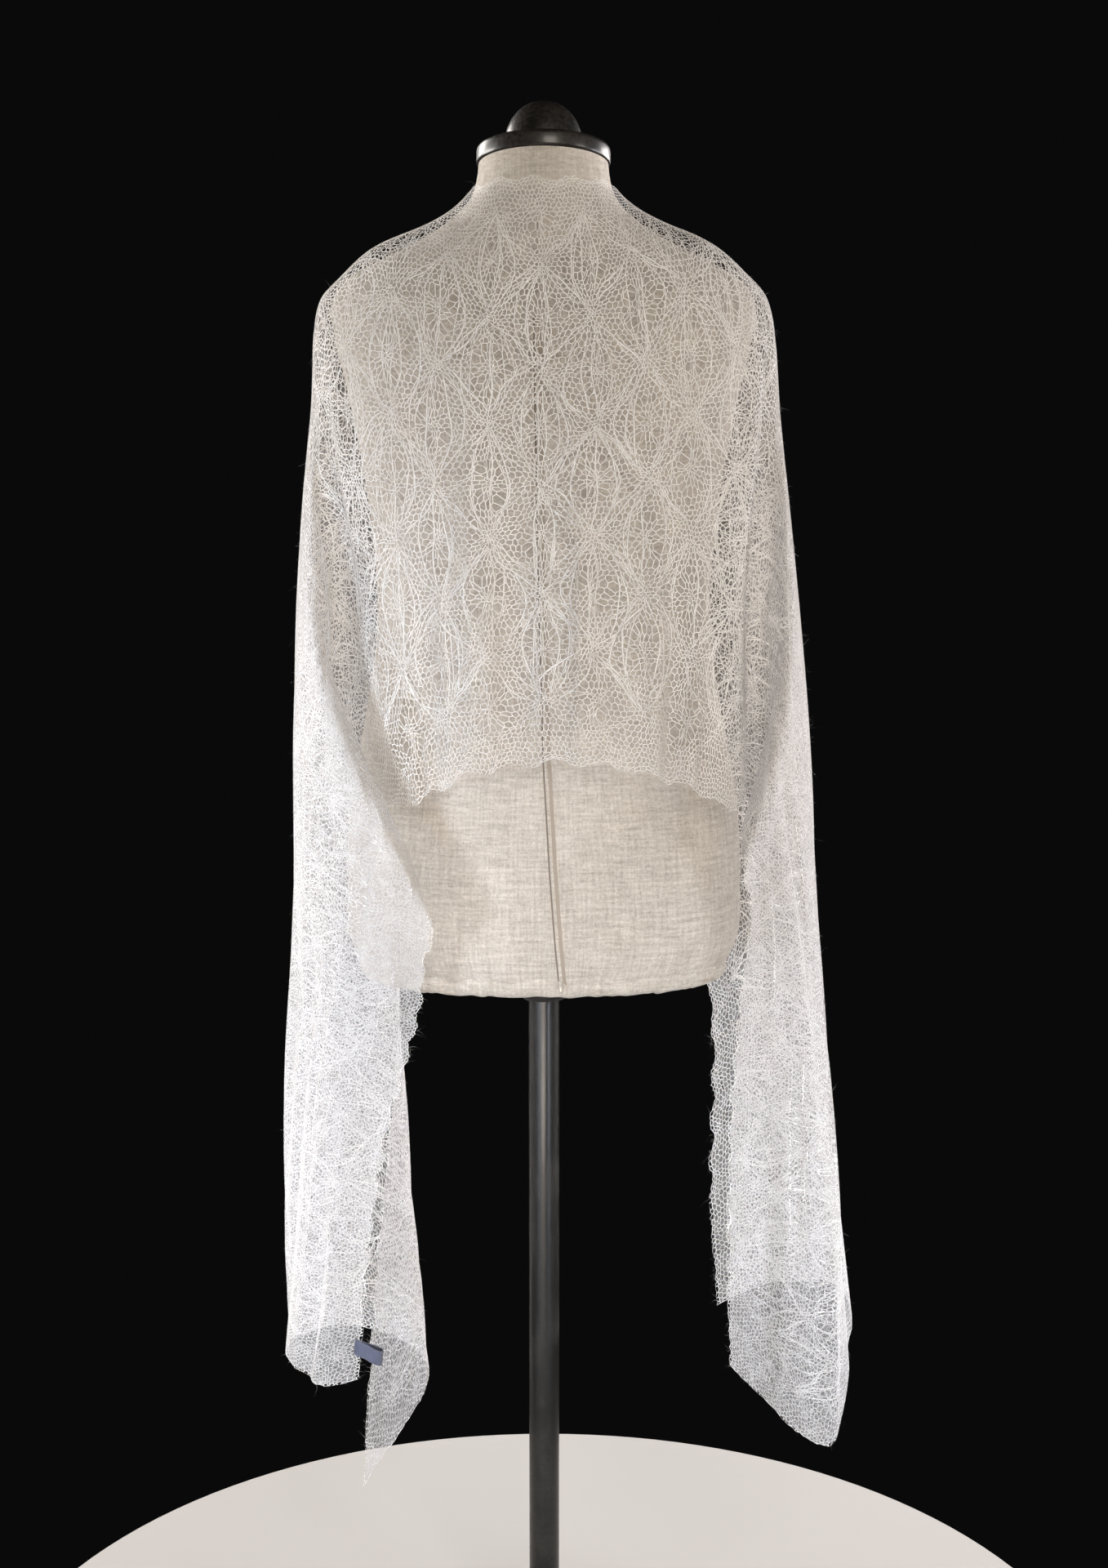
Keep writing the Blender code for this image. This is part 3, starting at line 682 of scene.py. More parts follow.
@dataclass(frozen=True)
class ZipTape(Finish):
    """Herringbone tape of a zip; its dark colour is partly the tape's own and partly painted shade of the
    narrow gaps beside the zip's ridge.
    """

    roughness: float = 0.85
    colour: tuple[float, float, float] = (0.17, 0.145, 0.12)

    def dress(self, nodes: Nodes, shader: bpy.types.Node) -> None:
        """Feed colour and rib."""
        cloth = nodes.place(Space.CLOTH)
        rib = nodes.stripes(cloth, 1, 1400.0)
        speck = nodes.noise(cloth, 900.0, 2.0)
        lighter = tuple(c * 1.7 for c in self.colour)
        self.feed(
            nodes, shader,
            Base_Color=nodes.blend((speck * 0.8 + rib * 0.3 - 0.1).clamped(), self.colour, lighter),
            Normal=nodes.bump(rib + speck * 0.5, 0.4, 0.0003),
        )


@dataclass(frozen=True)
class BrushedMetal(Finish):
    """Dull nickel of the zip's slider."""

    roughness: float = 0.38
    light: tuple[float, float, float] = (0.56, 0.53, 0.48)
    dark: tuple[float, float, float] = (0.30, 0.28, 0.25)

    def dress(self, nodes: Nodes, shader: bpy.types.Node) -> None:
        """Feed colour and roughness, duller where it is handled."""
        fine = nodes.noise(nodes.place(Space.OBJECT, (1.0, 1.0, 0.2)), 2200.0, 2.0)
        dull = nodes.noise(nodes.place(Space.OBJECT), 500.0, 3.0)
        self.feed(
            nodes, shader,
            Base_Color=nodes.blend(dull, self.dark, self.light),
            Roughness=dull * 0.3 + (self.roughness - 0.12),
            Metallic=(0.95 - dull * 0.2),
            Normal=nodes.bump(fine, 0.15, 0.0001),
        )


@dataclass(frozen=True)
class PlainFloor(Finish):
    """Pale matt studio floor."""

    roughness: float = 0.8
    colour: tuple[float, float, float] = (0.46, 0.45, 0.44)

    def dress(self, nodes: Nodes, shader: bpy.types.Node) -> None:
        """Feed a barely uneven pale colour."""
        cloud = nodes.noise(nodes.place(Space.OBJECT), 3.0, 3.0)
        darker = tuple(c * 0.96 for c in self.colour)
        self.feed(nodes, shader, Base_Color=nodes.blend(cloud, darker, self.colour))


MOHAIR = MohairYarn("white_mohair")
HAIR = MohairHair("mohair_fibres")
# The nap's grey colour is painted shade between the yarns.
VEIL_AND_SHADE = MohairNapAndShade("mohair_nap_and_painted_shade")
LINEN = LinenWeave("linen_cover")
LACQUER = Lacquer("black_lacquer")
RIBBON = SatinRibbon("grey_satin_ribbon")
# The tapes' dark colours are partly their own and partly painted shade of the gaps beside the ridge; the
# edge tape's colour also serves the seam thread.
TAPE_AND_GAP_SHADE = ZipTape("zip_tape_and_gap_shade")
TAPE_EDGE_SHADE_AND_SEAM = ZipTape("zip_edge_tape_and_gap_shade", colour=(0.30, 0.26, 0.22))
METAL = BrushedMetal("zip_metal")
FLOOR = PlainFloor("studio_floor")


# Mesh helpers


def smooth_between(knots: np.ndarray, values: np.ndarray, at: np.ndarray) -> np.ndarray:
    """Smooth curve through values at knots, with slopes from the neighbours.

    Args:
        knots: Places of the values, rising.
        values: One row for each knot.
        at: Places to read.

    Returns:
        One row for each place.
    """
    slopes = np.gradient(values, knots, axis=0)
    index = np.clip(np.searchsorted(knots, at, side="right") - 1, 0, len(knots) - 2)
    step = (knots[index + 1] - knots[index])[:, None]
    share = ((at - knots[index])[:, None]) / step
    square, cube = share**2, share**3
    return (
        (2 * cube - 3 * square + 1) * values[index]
        + (cube - 2 * square + share) * step * slopes[index]
        + (3 * square - 2 * cube) * values[index + 1]
        + (cube - square) * step * slopes[index + 1]
    )


def bell(distance: np.ndarray) -> np.ndarray:
    """A soft rise from 0 at one reach from the middle to 1 in the middle."""
    inside = np.clip(1.0 - np.abs(distance), 0.0, 1.0)
    return inside * inside * (3.0 - 2.0 * inside)


def coordinates(bm: bmesh.types.BMesh) -> np.ndarray:
    """Where each vertex is, as an array."""
    return np.array([v.co[:] for v in bm.verts])


def move_to(bm: bmesh.types.BMesh, points: np.ndarray) -> None:
    """Put each vertex at its row of an array."""
    for vert, point in zip(bm.verts, points.tolist()):
        vert.co = point


def write_map(bm: bmesh.types.BMesh, name: str, read: Callable[[Vector], tuple[float, float]]) -> None:
    """Fill a UV map from each vertex's place.

    Args:
        bm: The mesh.
        name: The map's name.
        read: Gives the map's two numbers for a place.
    """
    layer = bm.loops.layers.uv.get(name) or bm.loops.layers.uv.new(name)
    found = [read(vert.co) for vert in bm.verts]
    bm.verts.index_update()
    for face in bm.faces:
        for loop in face.loops:
            loop[layer].uv = found[loop.vert.index]


def close_map(bm: bmesh.types.BMesh, name: str, girth: float) -> None:
    """Carry a UV map that runs round a solid past its start, on the faces where it would jump back.

    Args:
        bm: The mesh.
        name: The map's name.
        girth: How far the map runs in one round.
    """
    layer = bm.loops.layers.uv[name]
    for face in bm.faces:
        places = [loop[layer].uv.x for loop in face.loops]
        if max(places) - min(places) > girth / 2:
            for loop in face.loops:
                if loop[layer].uv.x < 0:
                    loop[layer].uv.x += girth


def finished(
    name: str,
    bm: bmesh.types.BMesh,
    finish: Finish,
    replaces: Sequence[str] = (),
    sharp: float = 40.0,
) -> bpy.types.Object:
    """Turn a bmesh into a piece that rides on the frame.

    Args:
        name: The piece's name.
        bm: Its mesh, in the row frame; it is freed.
        finish: Its finish.
        replaces: CAD nodes that it stands for.
        sharp: The angle, in degrees, past which an edge stays sharp.

    Returns:
        The piece.
    """
    mesh = bpy.data.meshes.new(name)
    bm.to_mesh(mesh)
    bm.free()
    mesh.materials.append(finish.make())
    mesh.shade_smooth()
    if sharp < 180.0:
        mesh.set_sharp_from_angle(angle=math.radians(sharp))
    piece = bpy.data.objects.new(name, mesh)
    bpy.context.scene.collection.objects.link(piece)
    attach(piece, BODY)
    if replaces:
        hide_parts(*replaces)
    log.info("%s: %d faces", name, len(mesh.polygons))
    return piece


def turned(profile: Iterable[Turn], steps: int) -> bmesh.types.BMesh:
    """A closed solid turned about Z.

    Args:
        profile: Points from the axis at the foot to the axis at the top.
        steps: Facets round.

    Returns:
        The mesh, its faces outwards.
    """
    bm = bmesh.new()
    verts = [bm.verts.new((turn.radius, 0.0, turn.height)) for turn in profile]
    edges = [bm.edges.new(pair) for pair in zip(verts, verts[1:])]
    bmesh.ops.spin(bm, geom=verts + edges, cent=(0, 0, 0), axis=(0, 0, 1), angle=math.tau, steps=steps,
                   use_merge=True)
    bmesh.ops.remove_doubles(bm, verts=bm.verts[:], dist=0.00001)
    bmesh.ops.recalc_face_normals(bm, faces=bm.faces[:])
    return bm


# The shawl


@dataclass
class Drape:
    """How the cloth lies: the draped surface that every part of the shawl is laid on."""

    length: float = 2.50
    width: float = 0.53
    held_along: float = 0.10
    rows: int = 1200
    columns: int = 200
    lines: tuple[float, ...] = (0.0, 0.2, 0.4, 0.6, 0.8, 1.0)
    crease_depth: float = 0.0022
    seed: int = 7

    def __post_init__(self) -> None:
        """Work out the surface once."""
        along = np.linspace(-self.length / 2, self.length / 2, self.rows + 1)
        across = np.linspace(0.0, 1.0, self.columns + 1)
        points = self.middle(along, across)
        rise = np.zeros((len(along), len(across)))
        for fold in FOLDS + CREASES:
            lengthwise = bell((along - fold.along) / fold.reach_along)
            crosswise = bell((across - fold.across) / fold.reach_across)
            rise += fold.deep * np.outer(lengthwise, crosswise)
        points = points + rise[:, :, None] * self.normals(points)
        points = points + self.creases(along, across)[:, :, None] * self.normals(points)
        self.points = points
        self.outward = self.normals(points)

    def spaced_evenly(self, line: np.ndarray, held: int) -> np.ndarray:
        """The same curve with its points at even distances, past the first ones, which are held."""
        steps = np.linalg.norm(np.diff(line, axis=0), axis=1)
        run = np.concatenate([[0.0], np.cumsum(steps)])
        wanted = run.copy()
        wanted[held:] = np.linspace(run[held], run[-1], len(run) - held)
        return np.stack([np.interp(wanted, run, line[:, axis]) for axis in range(3)], axis=1)

    def middle(self, along: np.ndarray, across: np.ndarray) -> np.ndarray:
        """Points of the cloth before its folds, as an array [along, across, 3]."""
        knots, net = [], []
        for side, table in ((-1, LEFT_SECTIONS[::-1]), (1, CENTRE_SECTIONS + RIGHT_SECTIONS)):
            for section in table:
                knots.append(side * section.along)
                net.append([(side * x, y, z) for x, y, z in section[1:]])
        knots, net = np.array(knots), np.array(net)
        lengthwise = smooth_between(knots, net.reshape(len(knots), -1), along)
        lengthwise = lengthwise.reshape(len(along), len(self.lines), 3).transpose(1, 0, 2)
        full = smooth_between(np.array(self.lines), lengthwise.reshape(len(self.lines), -1), across)
        full = full.reshape(len(across), len(along), 3).transpose(1, 0, 2)
        full = np.stack([self.spaced_evenly(section, 0) for section in full])
        centre = len(along) // 2
        held = int(np.searchsorted(along[centre:], self.held_along))
        for j in range(len(across)):
            full[centre:, j] = self.spaced_evenly(full[centre:, j], held)
            full[centre::-1, j] = self.spaced_evenly(full[centre::-1, j], held)
        return full

    def normals(self, points: np.ndarray) -> np.ndarray:
        """Unit normals of a grid of points, which point away from the form."""
        normal = np.cross(np.gradient(points, axis=0), np.gradient(points, axis=1))
        return normal / np.linalg.norm(normal, axis=2, keepdims=True)

    def creases(self, along: np.ndarray, across: np.ndarray) -> np.ndarray:
        """Small soft creases that run down the hanging cloth, out of its surface."""
        rng = np.random.default_rng(self.seed)
        rise = np.zeros((len(along), len(across)))
        for _ in range(150):
            middle = rng.uniform(-self.length / 2, self.length / 2)
            hangs = abs(middle) > 0.36
            reach = rng.uniform(0.08, 0.26) if hangs else rng.uniform(0.010, 0.022)
            narrow = rng.uniform(0.012, 0.034) if hangs else rng.uniform(0.15, 0.40)
            place = rng.uniform(0.05, 0.95) if hangs else rng.uniform(0.35, 1.0)
            slant = rng.uniform(-0.25, 0.25) if hangs else rng.uniform(-3.0, 3.0)
            deep = self.crease_depth * rng.uniform(0.3, 1.0)
            line = place + slant * (along - middle)
            crosswise = bell((across[None, :] - line[:, None]) / narrow)
            rise += deep * bell((along - middle) / reach)[:, None] * crosswise
        return rise

    def lay(self, along: np.ndarray, across: np.ndarray, rise: np.ndarray) -> np.ndarray:
        """Places on the draped cloth.

        Args:
            along: Metres along the cloth from the centre back.
            across: Metres across it from the neck edge.
            rise: Metres off its surface, away from the form.

        Returns:
            Points, one row each.
        """
        i = np.clip((along / self.length + 0.5) * self.rows, 0.0, self.rows - 1e-6)
        j = np.clip(across / self.width * self.columns, 0.0, self.columns - 1e-6)
        past_i, past_j = i.astype(int), j.astype(int)
        u, v = (i - past_i)[:, None], (j - past_j)[:, None]
        found = []
        for grid in (self.points, self.outward):
            near = grid[past_i, past_j] * (1 - u) + grid[past_i + 1, past_j] * u
            far = grid[past_i, past_j + 1] * (1 - u) + grid[past_i + 1, past_j + 1] * u
            found.append(near * (1 - v) + far * v)
        return found[0] + found[1] * rise[:, None]


@dataclass
class LaceNet:
    """The knitted lace: a honeycomb of yarn, drawn to nodes, petals and eyelets, in five stretches."""

    drape: Drape
    rows: int = 118
    step_on_falls: float = 0.00262
    step_on_back: float = 0.00220
    dense_to: tuple[float, float] = (0.48, 0.58)
    halo: float = 0.00100
    widths: int = 8
    yarn_rise: float = 0.0005
    edge_strand: float = 0.0011
    scallop_depth: float = 0.0019
    scallop_pitch: float = 0.0120
    sway_depth: float = 0.0028
    sway_reach: float = 0.030
    sway_to: float = 1.17
    cells_along: int = 80
    border: float = 0.036
    node_along: float = 0.0446
    node_across: float = 0.0970
    jitter: float = 0.00050
    seed: int = 11
    stretches: tuple[tuple[str, int, int], ...] = (
        ("shawl_left_fall", 0, 23),
        ("shawl_left_shoulder", 23, 35),
        ("shawl_back", 35, 45),
        ("shawl_right_shoulder", 45, 57),
        ("shawl_right_fall", 57, 80),
    )
    pulls: tuple[Pull, ...] = (
        Pull(0.0, 0.50, 0.0, 0.0115, 0.0160),
        Pull(0.5, 0.0, 1.0, 0.0145, 0.0220),
    )
    pull_reach: float = 0.045
    opening_reach: float = 0.016
    cell_reach: float = 0.006
    knot: float = 0.22
    wander: float = 0.0018
    spines: tuple[Spine, ...] = (
        Spine(0.50, 0.034, 0.62),
        Spine(-0.50, 0.034, 0.62),
        Spine(2.55, 0.030, 0.58),
        Spine(3.75, 0.030, 0.58),
        Spine(0.02, 0.022, 0.45),
    )
    spine_width: float = 0.0024
    eyelets: tuple[Eyelet, ...] = (
        Eyelet(-0.0085, 0.0120, 0.0034, -0.55),
        Eyelet(0.0085, 0.0120, 0.0034, 0.55),
        Eyelet(-0.0090, -0.0115, 0.0030, 0.60),
        Eyelet(0.0090, -0.0115, 0.0030, -0.60),
        Eyelet(0.0180, -0.0030, 0.0024, 0.20),
    )
    eyelet_reach: tuple[float, float] = (0.0050, 0.0095)
    stray_count: int = 380
    stray: Eyelet = Eyelet(0.0, 0.0, 0.0014, 0.0)

    def stations(self) -> np.ndarray:
        """Where the columns of stitches lie along the cloth, closer together over the back."""
        along = np.linspace(-self.drape.length / 2, self.drape.length / 2, 4001)
        first, last = self.dense_to
        share = np.clip((np.abs(along) - first) / (last - first), 0.0, 1.0)
        per_metre = 1.0 / (self.step_on_back + (self.step_on_falls - self.step_on_back) * share)
        count = np.concatenate([[0.0], np.cumsum((per_metre[1:] + per_metre[:-1]) / 2 * np.diff(along))])
        return np.interp(np.linspace(0.0, count[-1], round(count[-1]) + 1), count, along)

    def feet(self, share: float) -> np.ndarray:
        """Where each motif's point at a share of its height is, in metres along and across."""
        found = []
        count = round(self.drape.length / self.node_along)
        for column in range(-1, count + 2):
            drop = 0.5 * (column % 2)
            for row in range(-1, 7):
                found.append((column * self.node_along, (row + drop + share) * self.node_across))
        return np.array(found) - (self.drape.length / 2, 0.012)

    def chart_share(self, places: np.ndarray) -> np.ndarray:
        """How much of the chart shows at each place: none in the borders' plain mesh."""
        ends = self.drape.length / 2 - np.abs(places[:, 0])
        sides = np.minimum(places[:, 1], self.drape.width - places[:, 1])
        return np.clip((np.minimum(ends, sides) - self.border * 0.8) / 0.012, 0.0, 1.0)

    def near(self, places: np.ndarray, centres: np.ndarray, reach: float) -> Iterable[tuple]:
        """For each centre, the rows of the places within a reach of it and their offsets from it."""
        order = np.argsort(places[:, 0])
        sorted_along = places[order, 0]
        for centre in centres:
            first, last = np.searchsorted(sorted_along, (centre[0] - reach, centre[0] + reach))
            rows = order[first:last]
            offsets = places[rows] - centre
            close = np.abs(offsets[:, 1]) < reach
            yield rows[close], offsets[close]

    def drawn(
        self,
        places: np.ndarray,
        centres: np.ndarray,
        reach: float,
        move: Callable[[int, np.ndarray], np.ndarray],
    ) -> np.ndarray:
        """One stage of the chart, in which each centre moves the stitches round it.

        Args:
            places: The stitches.
            centres: The centres.
            reach: How far a centre reaches along and across.
            move: Gives the moves for a centre's number and the offsets of the stitches from it.

        Returns:
            The moved stitches.
        """
        moved = places.copy()
        share = self.chart_share(places)[:, None]
        for number, (rows, offsets) in enumerate(self.near(places, centres, reach)):
            moved[rows] += move(number, offsets) * share[rows]
        return moved

    def gather(self, pull: Pull, tight: float, offsets: np.ndarray) -> np.ndarray:
        """Moves towards a centre, softly or to a point."""
        apart = np.hypot(offsets[:, 0] / pull.reach_along, offsets[:, 1] / pull.reach_across)
        soft = pull.soft * np.exp(-(apart**2) / 2)
        sharp = pull.sharp * (1.0 - np.clip(apart, self.knot, 1.0) ** 0.9)
        return -offsets * ((soft + sharp) * tight)[:, None]

    def bundle(self, spine: Spine, lean: float, offsets: np.ndarray) -> np.ndarray:
        """Moves towards a line that leaves a node."""
        aim = np.array([math.sin(lean), math.cos(lean)])
        run = offsets @ aim
        aside = offsets - run[:, None] * aim
        apart = np.linalg.norm(aside, axis=1) / self.spine_width
        inside = bell((run / spine.length - 0.5) / 0.55)
        return -aside * (spine.tight * np.exp(-(apart**2) / 2) * inside)[:, None]

    def open(self, opening: float, lean: float, offsets: np.ndarray) -> np.ndarray:
        """Moves away from an eyelet, which leans and is longer than wide."""
        turn = np.array([[math.cos(lean), -math.sin(lean)], [math.sin(lean), math.cos(lean)]])
        local = offsets @ turn / self.eyelet_reach
        apart = np.linalg.norm(local, axis=1, keepdims=True) + 1e-6
        return (opening * np.exp(-(apart**2)) * local / apart * (1.0, 0.45)) @ turn.T

    def charted(self, places: np.ndarray) -> np.ndarray:
        """The flat net drawn into petals, nodes and lines of decreases, and a little uneven everywhere."""
        rng = np.random.default_rng(self.seed)
        moved = places
        for pull in self.pulls:
            centres = self.feet(pull.share)
            centres = centres + rng.normal(0.0, self.wander, centres.shape)
            tight = rng.uniform(0.75, 1.08, len(centres))
            moved = self.drawn(
                moved, centres, self.pull_reach,
                lambda k, offsets: self.gather(pull, tight[k], offsets),
            )
        for spine in self.spines:
            leans = spine.lean + rng.normal(0.0, 0.20, len(centres))
            moved = self.drawn(
                moved, centres, spine.length,
                lambda k, offsets: self.bundle(spine, leans[k], offsets),
            )
        for reach, size in ((190.0, 0.00042), (460.0, 0.00014)):
            waves = rng.uniform(-1, 1, (14, 2)) * reach
            turns = rng.uniform(0, math.tau, 14)
            aims = rng.normal(0.0, size, (14, 2))
            for wave, turn, aim in zip(waves, turns, aims):
                moved = moved + np.sin(places @ wave + turn)[:, None] * aim
        return moved + rng.normal(0.0, self.jitter, places.shape)

    def opened(self, places: np.ndarray, middles: np.ndarray) -> np.ndarray:
        """The net with its eyelets opened, each round the middle of the cell nearest to it.

        Args:
            places: The net's vertices.
            middles: The middles of its cells.

        Returns:
            The vertices, pushed away from the eyelets.
        """
        rng = np.random.default_rng(self.seed + 1)
        half = self.drape.length / 2
        strays = rng.uniform((-half, 0.0), (half, self.drape.width), (self.stray_count, 2))
        planned = [(self.stray, strays)]
        for eyelet in self.eyelets:
            wanted = self.feet(0.5) + (eyelet.along, eyelet.across)
            planned.append((eyelet, wanted[rng.random(len(wanted)) < 0.86]))
        moved = places
        for eyelet, wanted in planned:
            wanted = wanted[self.chart_share(wanted) > 0.5]
            near = [pair for pair in self.near(middles, wanted, self.cell_reach) if len(pair[0])]
            nearest = [rows[np.argmin((offsets**2).sum(axis=1))] for rows, offsets in near]
            centres = middles[np.array(nearest)]
            sizes = eyelet.opening * rng.uniform(0.35, 1.4, len(centres))
            leans = eyelet.lean + rng.normal(0.0, 0.35, len(centres))
            moved = self.drawn(
                moved, centres, self.opening_reach,
                lambda k, offsets: self.open(sizes[k], leans[k], offsets),
            )
        return moved

    def scallop_wave(self, run: np.ndarray) -> np.ndarray:
        """An uneven wave from 0 to 1 along an edge."""
        turn = run * math.pi / self.scallop_pitch + 1.3 * np.sin(run * 61.0) + 0.9 * np.sin(run * 23.0)
        return np.abs(np.sin(turn))

    def scalloped(self, places: np.ndarray) -> np.ndarray:
        """The net with a shallow scallop along its outer edges."""
        half = self.drape.length / 2
        sides = np.minimum(places[:, 1], self.drape.width - places[:, 1])
        ends = half - np.abs(places[:, 0])
        moved = places.copy()
        wave_along, wave_across = (
            self.scallop_wave(run) for run in places.T
        )
        at_side, at_end = np.clip(1 - sides / 0.006, 0, 1), np.clip(1 - ends / 0.006, 0, 1)
        towards = np.where(places[:, 1] < self.drape.width / 2, 1.0, -1.0)
        moved[:, 1] += towards * at_side * self.scallop_depth * (1.3 - wave_along)
        moved[:, 0] -= np.sign(places[:, 0]) * at_end * self.scallop_depth * (1.3 - wave_across)
        return moved

    def swayed(self, places: np.ndarray) -> np.ndarray:
        """Places in the cloth's plane, with its long edges drawn in a little between the motifs."""
        along, across = places[:, 0], places[:, 1]
        sides = np.minimum(across, self.drape.width - across)
        wave = 1.0 + np.sin(along * math.tau / self.node_along + 0.9 * np.sin(along * 17.0))
        share = np.clip(1.0 - sides / self.sway_reach, 0.0, 1.0) ** 1.5
        share *= np.clip((self.sway_to - np.abs(along)) / self.sway_reach, 0.0, 1.0)
        moved = places.copy()
        moved[:, 1] += np.where(across < self.drape.width / 2, 1.0, -1.0) * self.sway_depth * wave * share
        return moved

    def honeycomb(self) -> bmesh.types.BMesh:
        """A grid in the cloth's plane with alternate cross edges dissolved: cells in a brick bond."""
        bm = bmesh.new()
        stations = self.stations()
        columns = len(stations) - 1
        bmesh.ops.create_grid(bm, x_segments=columns, y_segments=self.rows, size=1.0)
        grid = np.rint((coordinates(bm)[:, :2] + 1.0) / 2.0 * (columns, self.rows)).astype(int)
        bm.verts.index_update()
        doomed = []
        for edge in bm.edges:
            one, two = (vert.index for vert in edge.verts)
            if grid[one, 0] == grid[two, 0] and not edge.is_boundary:
                if (grid[one, 0] + min(grid[one, 1], grid[two, 1])) % 2:
                    doomed.append(edge)
        bmesh.ops.dissolve_edges(bm, edges=doomed, use_verts=False)
        step = self.drape.width / self.rows
        places = np.column_stack([stations[grid[:, 0]], grid[:, 1] * step])
        places[:, 1] += np.where(grid.sum(axis=1) % 2 == 0, 1.0, -1.0) * step / 6.0
        places = self.charted(places)
        corners = np.array([loop.vert.index for face in bm.faces for loop in face.loops])
        starts = np.cumsum([0] + [len(face.verts) for face in bm.faces])[:-1]
        counts = np.diff(np.append(starts, len(corners)))[:, None]
        middles = np.add.reduceat(places[corners], starts) / counts
        places = self.swayed(self.scalloped(self.opened(places, middles)))
        move_to(bm, np.column_stack([places, np.zeros(len(places))]))
        return bm

    def inner_radius(self, face: bmesh.types.BMFace) -> float:
        """How far a cell's middle is from the nearest of its edges."""
        middle = face.calc_center_median()
        nearest = 1.0
        for edge in face.edges:
            one, two = (vert.co for vert in edge.verts)
            run = two - one
            apart = abs(run.x * (middle.y - one.y) - run.y * (middle.x - one.x)) / max(run.length, 1e-9)
            nearest = min(nearest, apart)
        return nearest

    def outer_radius(self, face: bmesh.types.BMFace) -> float:
        """How far the farthest corner of a cell is from its middle."""
        middle = face.calc_center_median()
        return max((vert.co - middle).length for vert in face.verts)

    def flat(self) -> bmesh.types.BMesh:
        """The whole net in the cloth's plane: every cell inset by its yarn's half width, and then opened.

        Returns:
            The mesh. Its vertices hold how far they are from the yarn's middle, as a share of the halo.
        """
        bm = self.honeycomb()
        layer = bm.verts.layers.float.new("across_yarn")
        rim = [edge for edge in bm.edges if edge.is_boundary]
        grown = bmesh.ops.extrude_edge_only(bm, edges=rim)["geom"]
        half = self.drape.length / 2
        for vert in (item for item in grown if isinstance(item, bmesh.types.BMVert)):
            vert[layer] = self.edge_strand / self.halo
            if min(vert.co.y, self.drape.width - vert.co.y) < half - abs(vert.co.x):
                vert.co.y += self.edge_strand * (-1.0 if vert.co.y < self.drape.width / 2 else 1.0)
            else:
                vert.co.x += self.edge_strand * math.copysign(1.0, vert.co.x)
        strand = {item for item in grown if isinstance(item, bmesh.types.BMFace)}
        levels = [[] for _ in range(self.widths)]
        cells = [face for face in bm.faces if face not in strand]
        rounds = {face: (face.calc_center_median(), self.outer_radius(face)) for face in cells}
        for face in cells:
            room = min(self.halo, 0.78 * self.inner_radius(face))
            levels[max(0, math.ceil(room / self.halo * self.widths) - 1)].append(face)
        for level, faces in enumerate(levels):
            width = self.halo * (level + 0.4) / self.widths
            if faces:
                bmesh.ops.inset_individual(
                    bm, faces=faces, thickness=width, depth=0.0, use_even_offset=True
                )
            for face in faces:
                middle, radius = rounds[face]
                for vert in face.verts:
                    vert[layer] = width / self.halo
                    if (vert.co - middle).length > radius:
                        vert.co = middle
        bmesh.ops.delete(bm, geom=cells, context="FACES")
        return bm

    def build(self) -> list[bpy.types.Object]:
        """Lay each stretch on the draped surface.

        Returns:
            The stretches.
        """
        bm = self.flat()
        places = coordinates(bm)
        layer = bm.verts.layers.float["across_yarn"]
        across_yarn = np.array([vert[layer] for vert in bm.verts])
        mesh = bpy.data.meshes.new("whole_net")
        bm.to_mesh(mesh)
        bm.free()
        corners = np.empty(len(mesh.loops), int)
        mesh.loops.foreach_get("vertex_index", corners)
        corners = corners.reshape(-1, 4)
        bpy.data.meshes.remove(mesh)
        rise = self.yarn_rise * (1.0 - np.minimum(across_yarn, 1.0)) ** 0.5
        laid = self.drape.lay(places[:, 0], places[:, 1], rise)
        middle = places[corners, 0].mean(axis=1)
        seams = [(first / self.cells_along - 0.5) * self.drape.length for _, first, _ in self.stretches[1:]]
        owner = np.searchsorted(np.array(seams), middle)
        pieces = []
        for number, (name, first, last) in enumerate(self.stretches):
            chosen = corners[owner == number]
            used, own_corners = np.unique(chosen, return_inverse=True)
            own_corners = own_corners.reshape(-1, 4)
            piece = self.stretch(name, laid[used], own_corners, across_yarn[used], places[used])
            pieces.append(piece)
        return pieces

    def stretch(
        self, name: str, laid: np.ndarray, corners: np.ndarray, across_yarn: np.ndarray, places: np.ndarray
    ) -> bpy.types.Object:
        """One stretch of the net as a piece.

        Args:
            name: The CAD node that it stands for.
            laid: Its vertices in the row frame.
            corners: The vertices of each face.
            across_yarn: 0 on the yarn's middle line and 1 where its halo ends.
            places: The vertices' places in the cloth's plane.

        Returns:
            The piece.
        """
        mesh = bpy.data.meshes.new(name + "_lace")
        mesh.from_pydata(laid, [], corners.tolist())
        layer = mesh.attributes.new("across_yarn", "FLOAT", "POINT")
        layer.data.foreach_set("value", across_yarn.astype(np.float32))
        flat_map = mesh.uv_layers.new(name=BAKE_MAP)
        spread = (places[:, :2] - places[:, :2].min(axis=0)) / np.ptp(places[:, :2], axis=0).max()
        flat_map.data.foreach_set("uv", spread[corners.ravel()].astype(np.float32).ravel())
        mesh.materials.append(MOHAIR.make())
        mesh.shade_smooth()
        piece = bpy.data.objects.new(name + "_lace", mesh)
        bpy.context.scene.collection.objects.link(piece)
        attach(piece, BODY)
        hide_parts(name)
        log.info("%s: %d faces", piece.name, len(corners))
        return piece


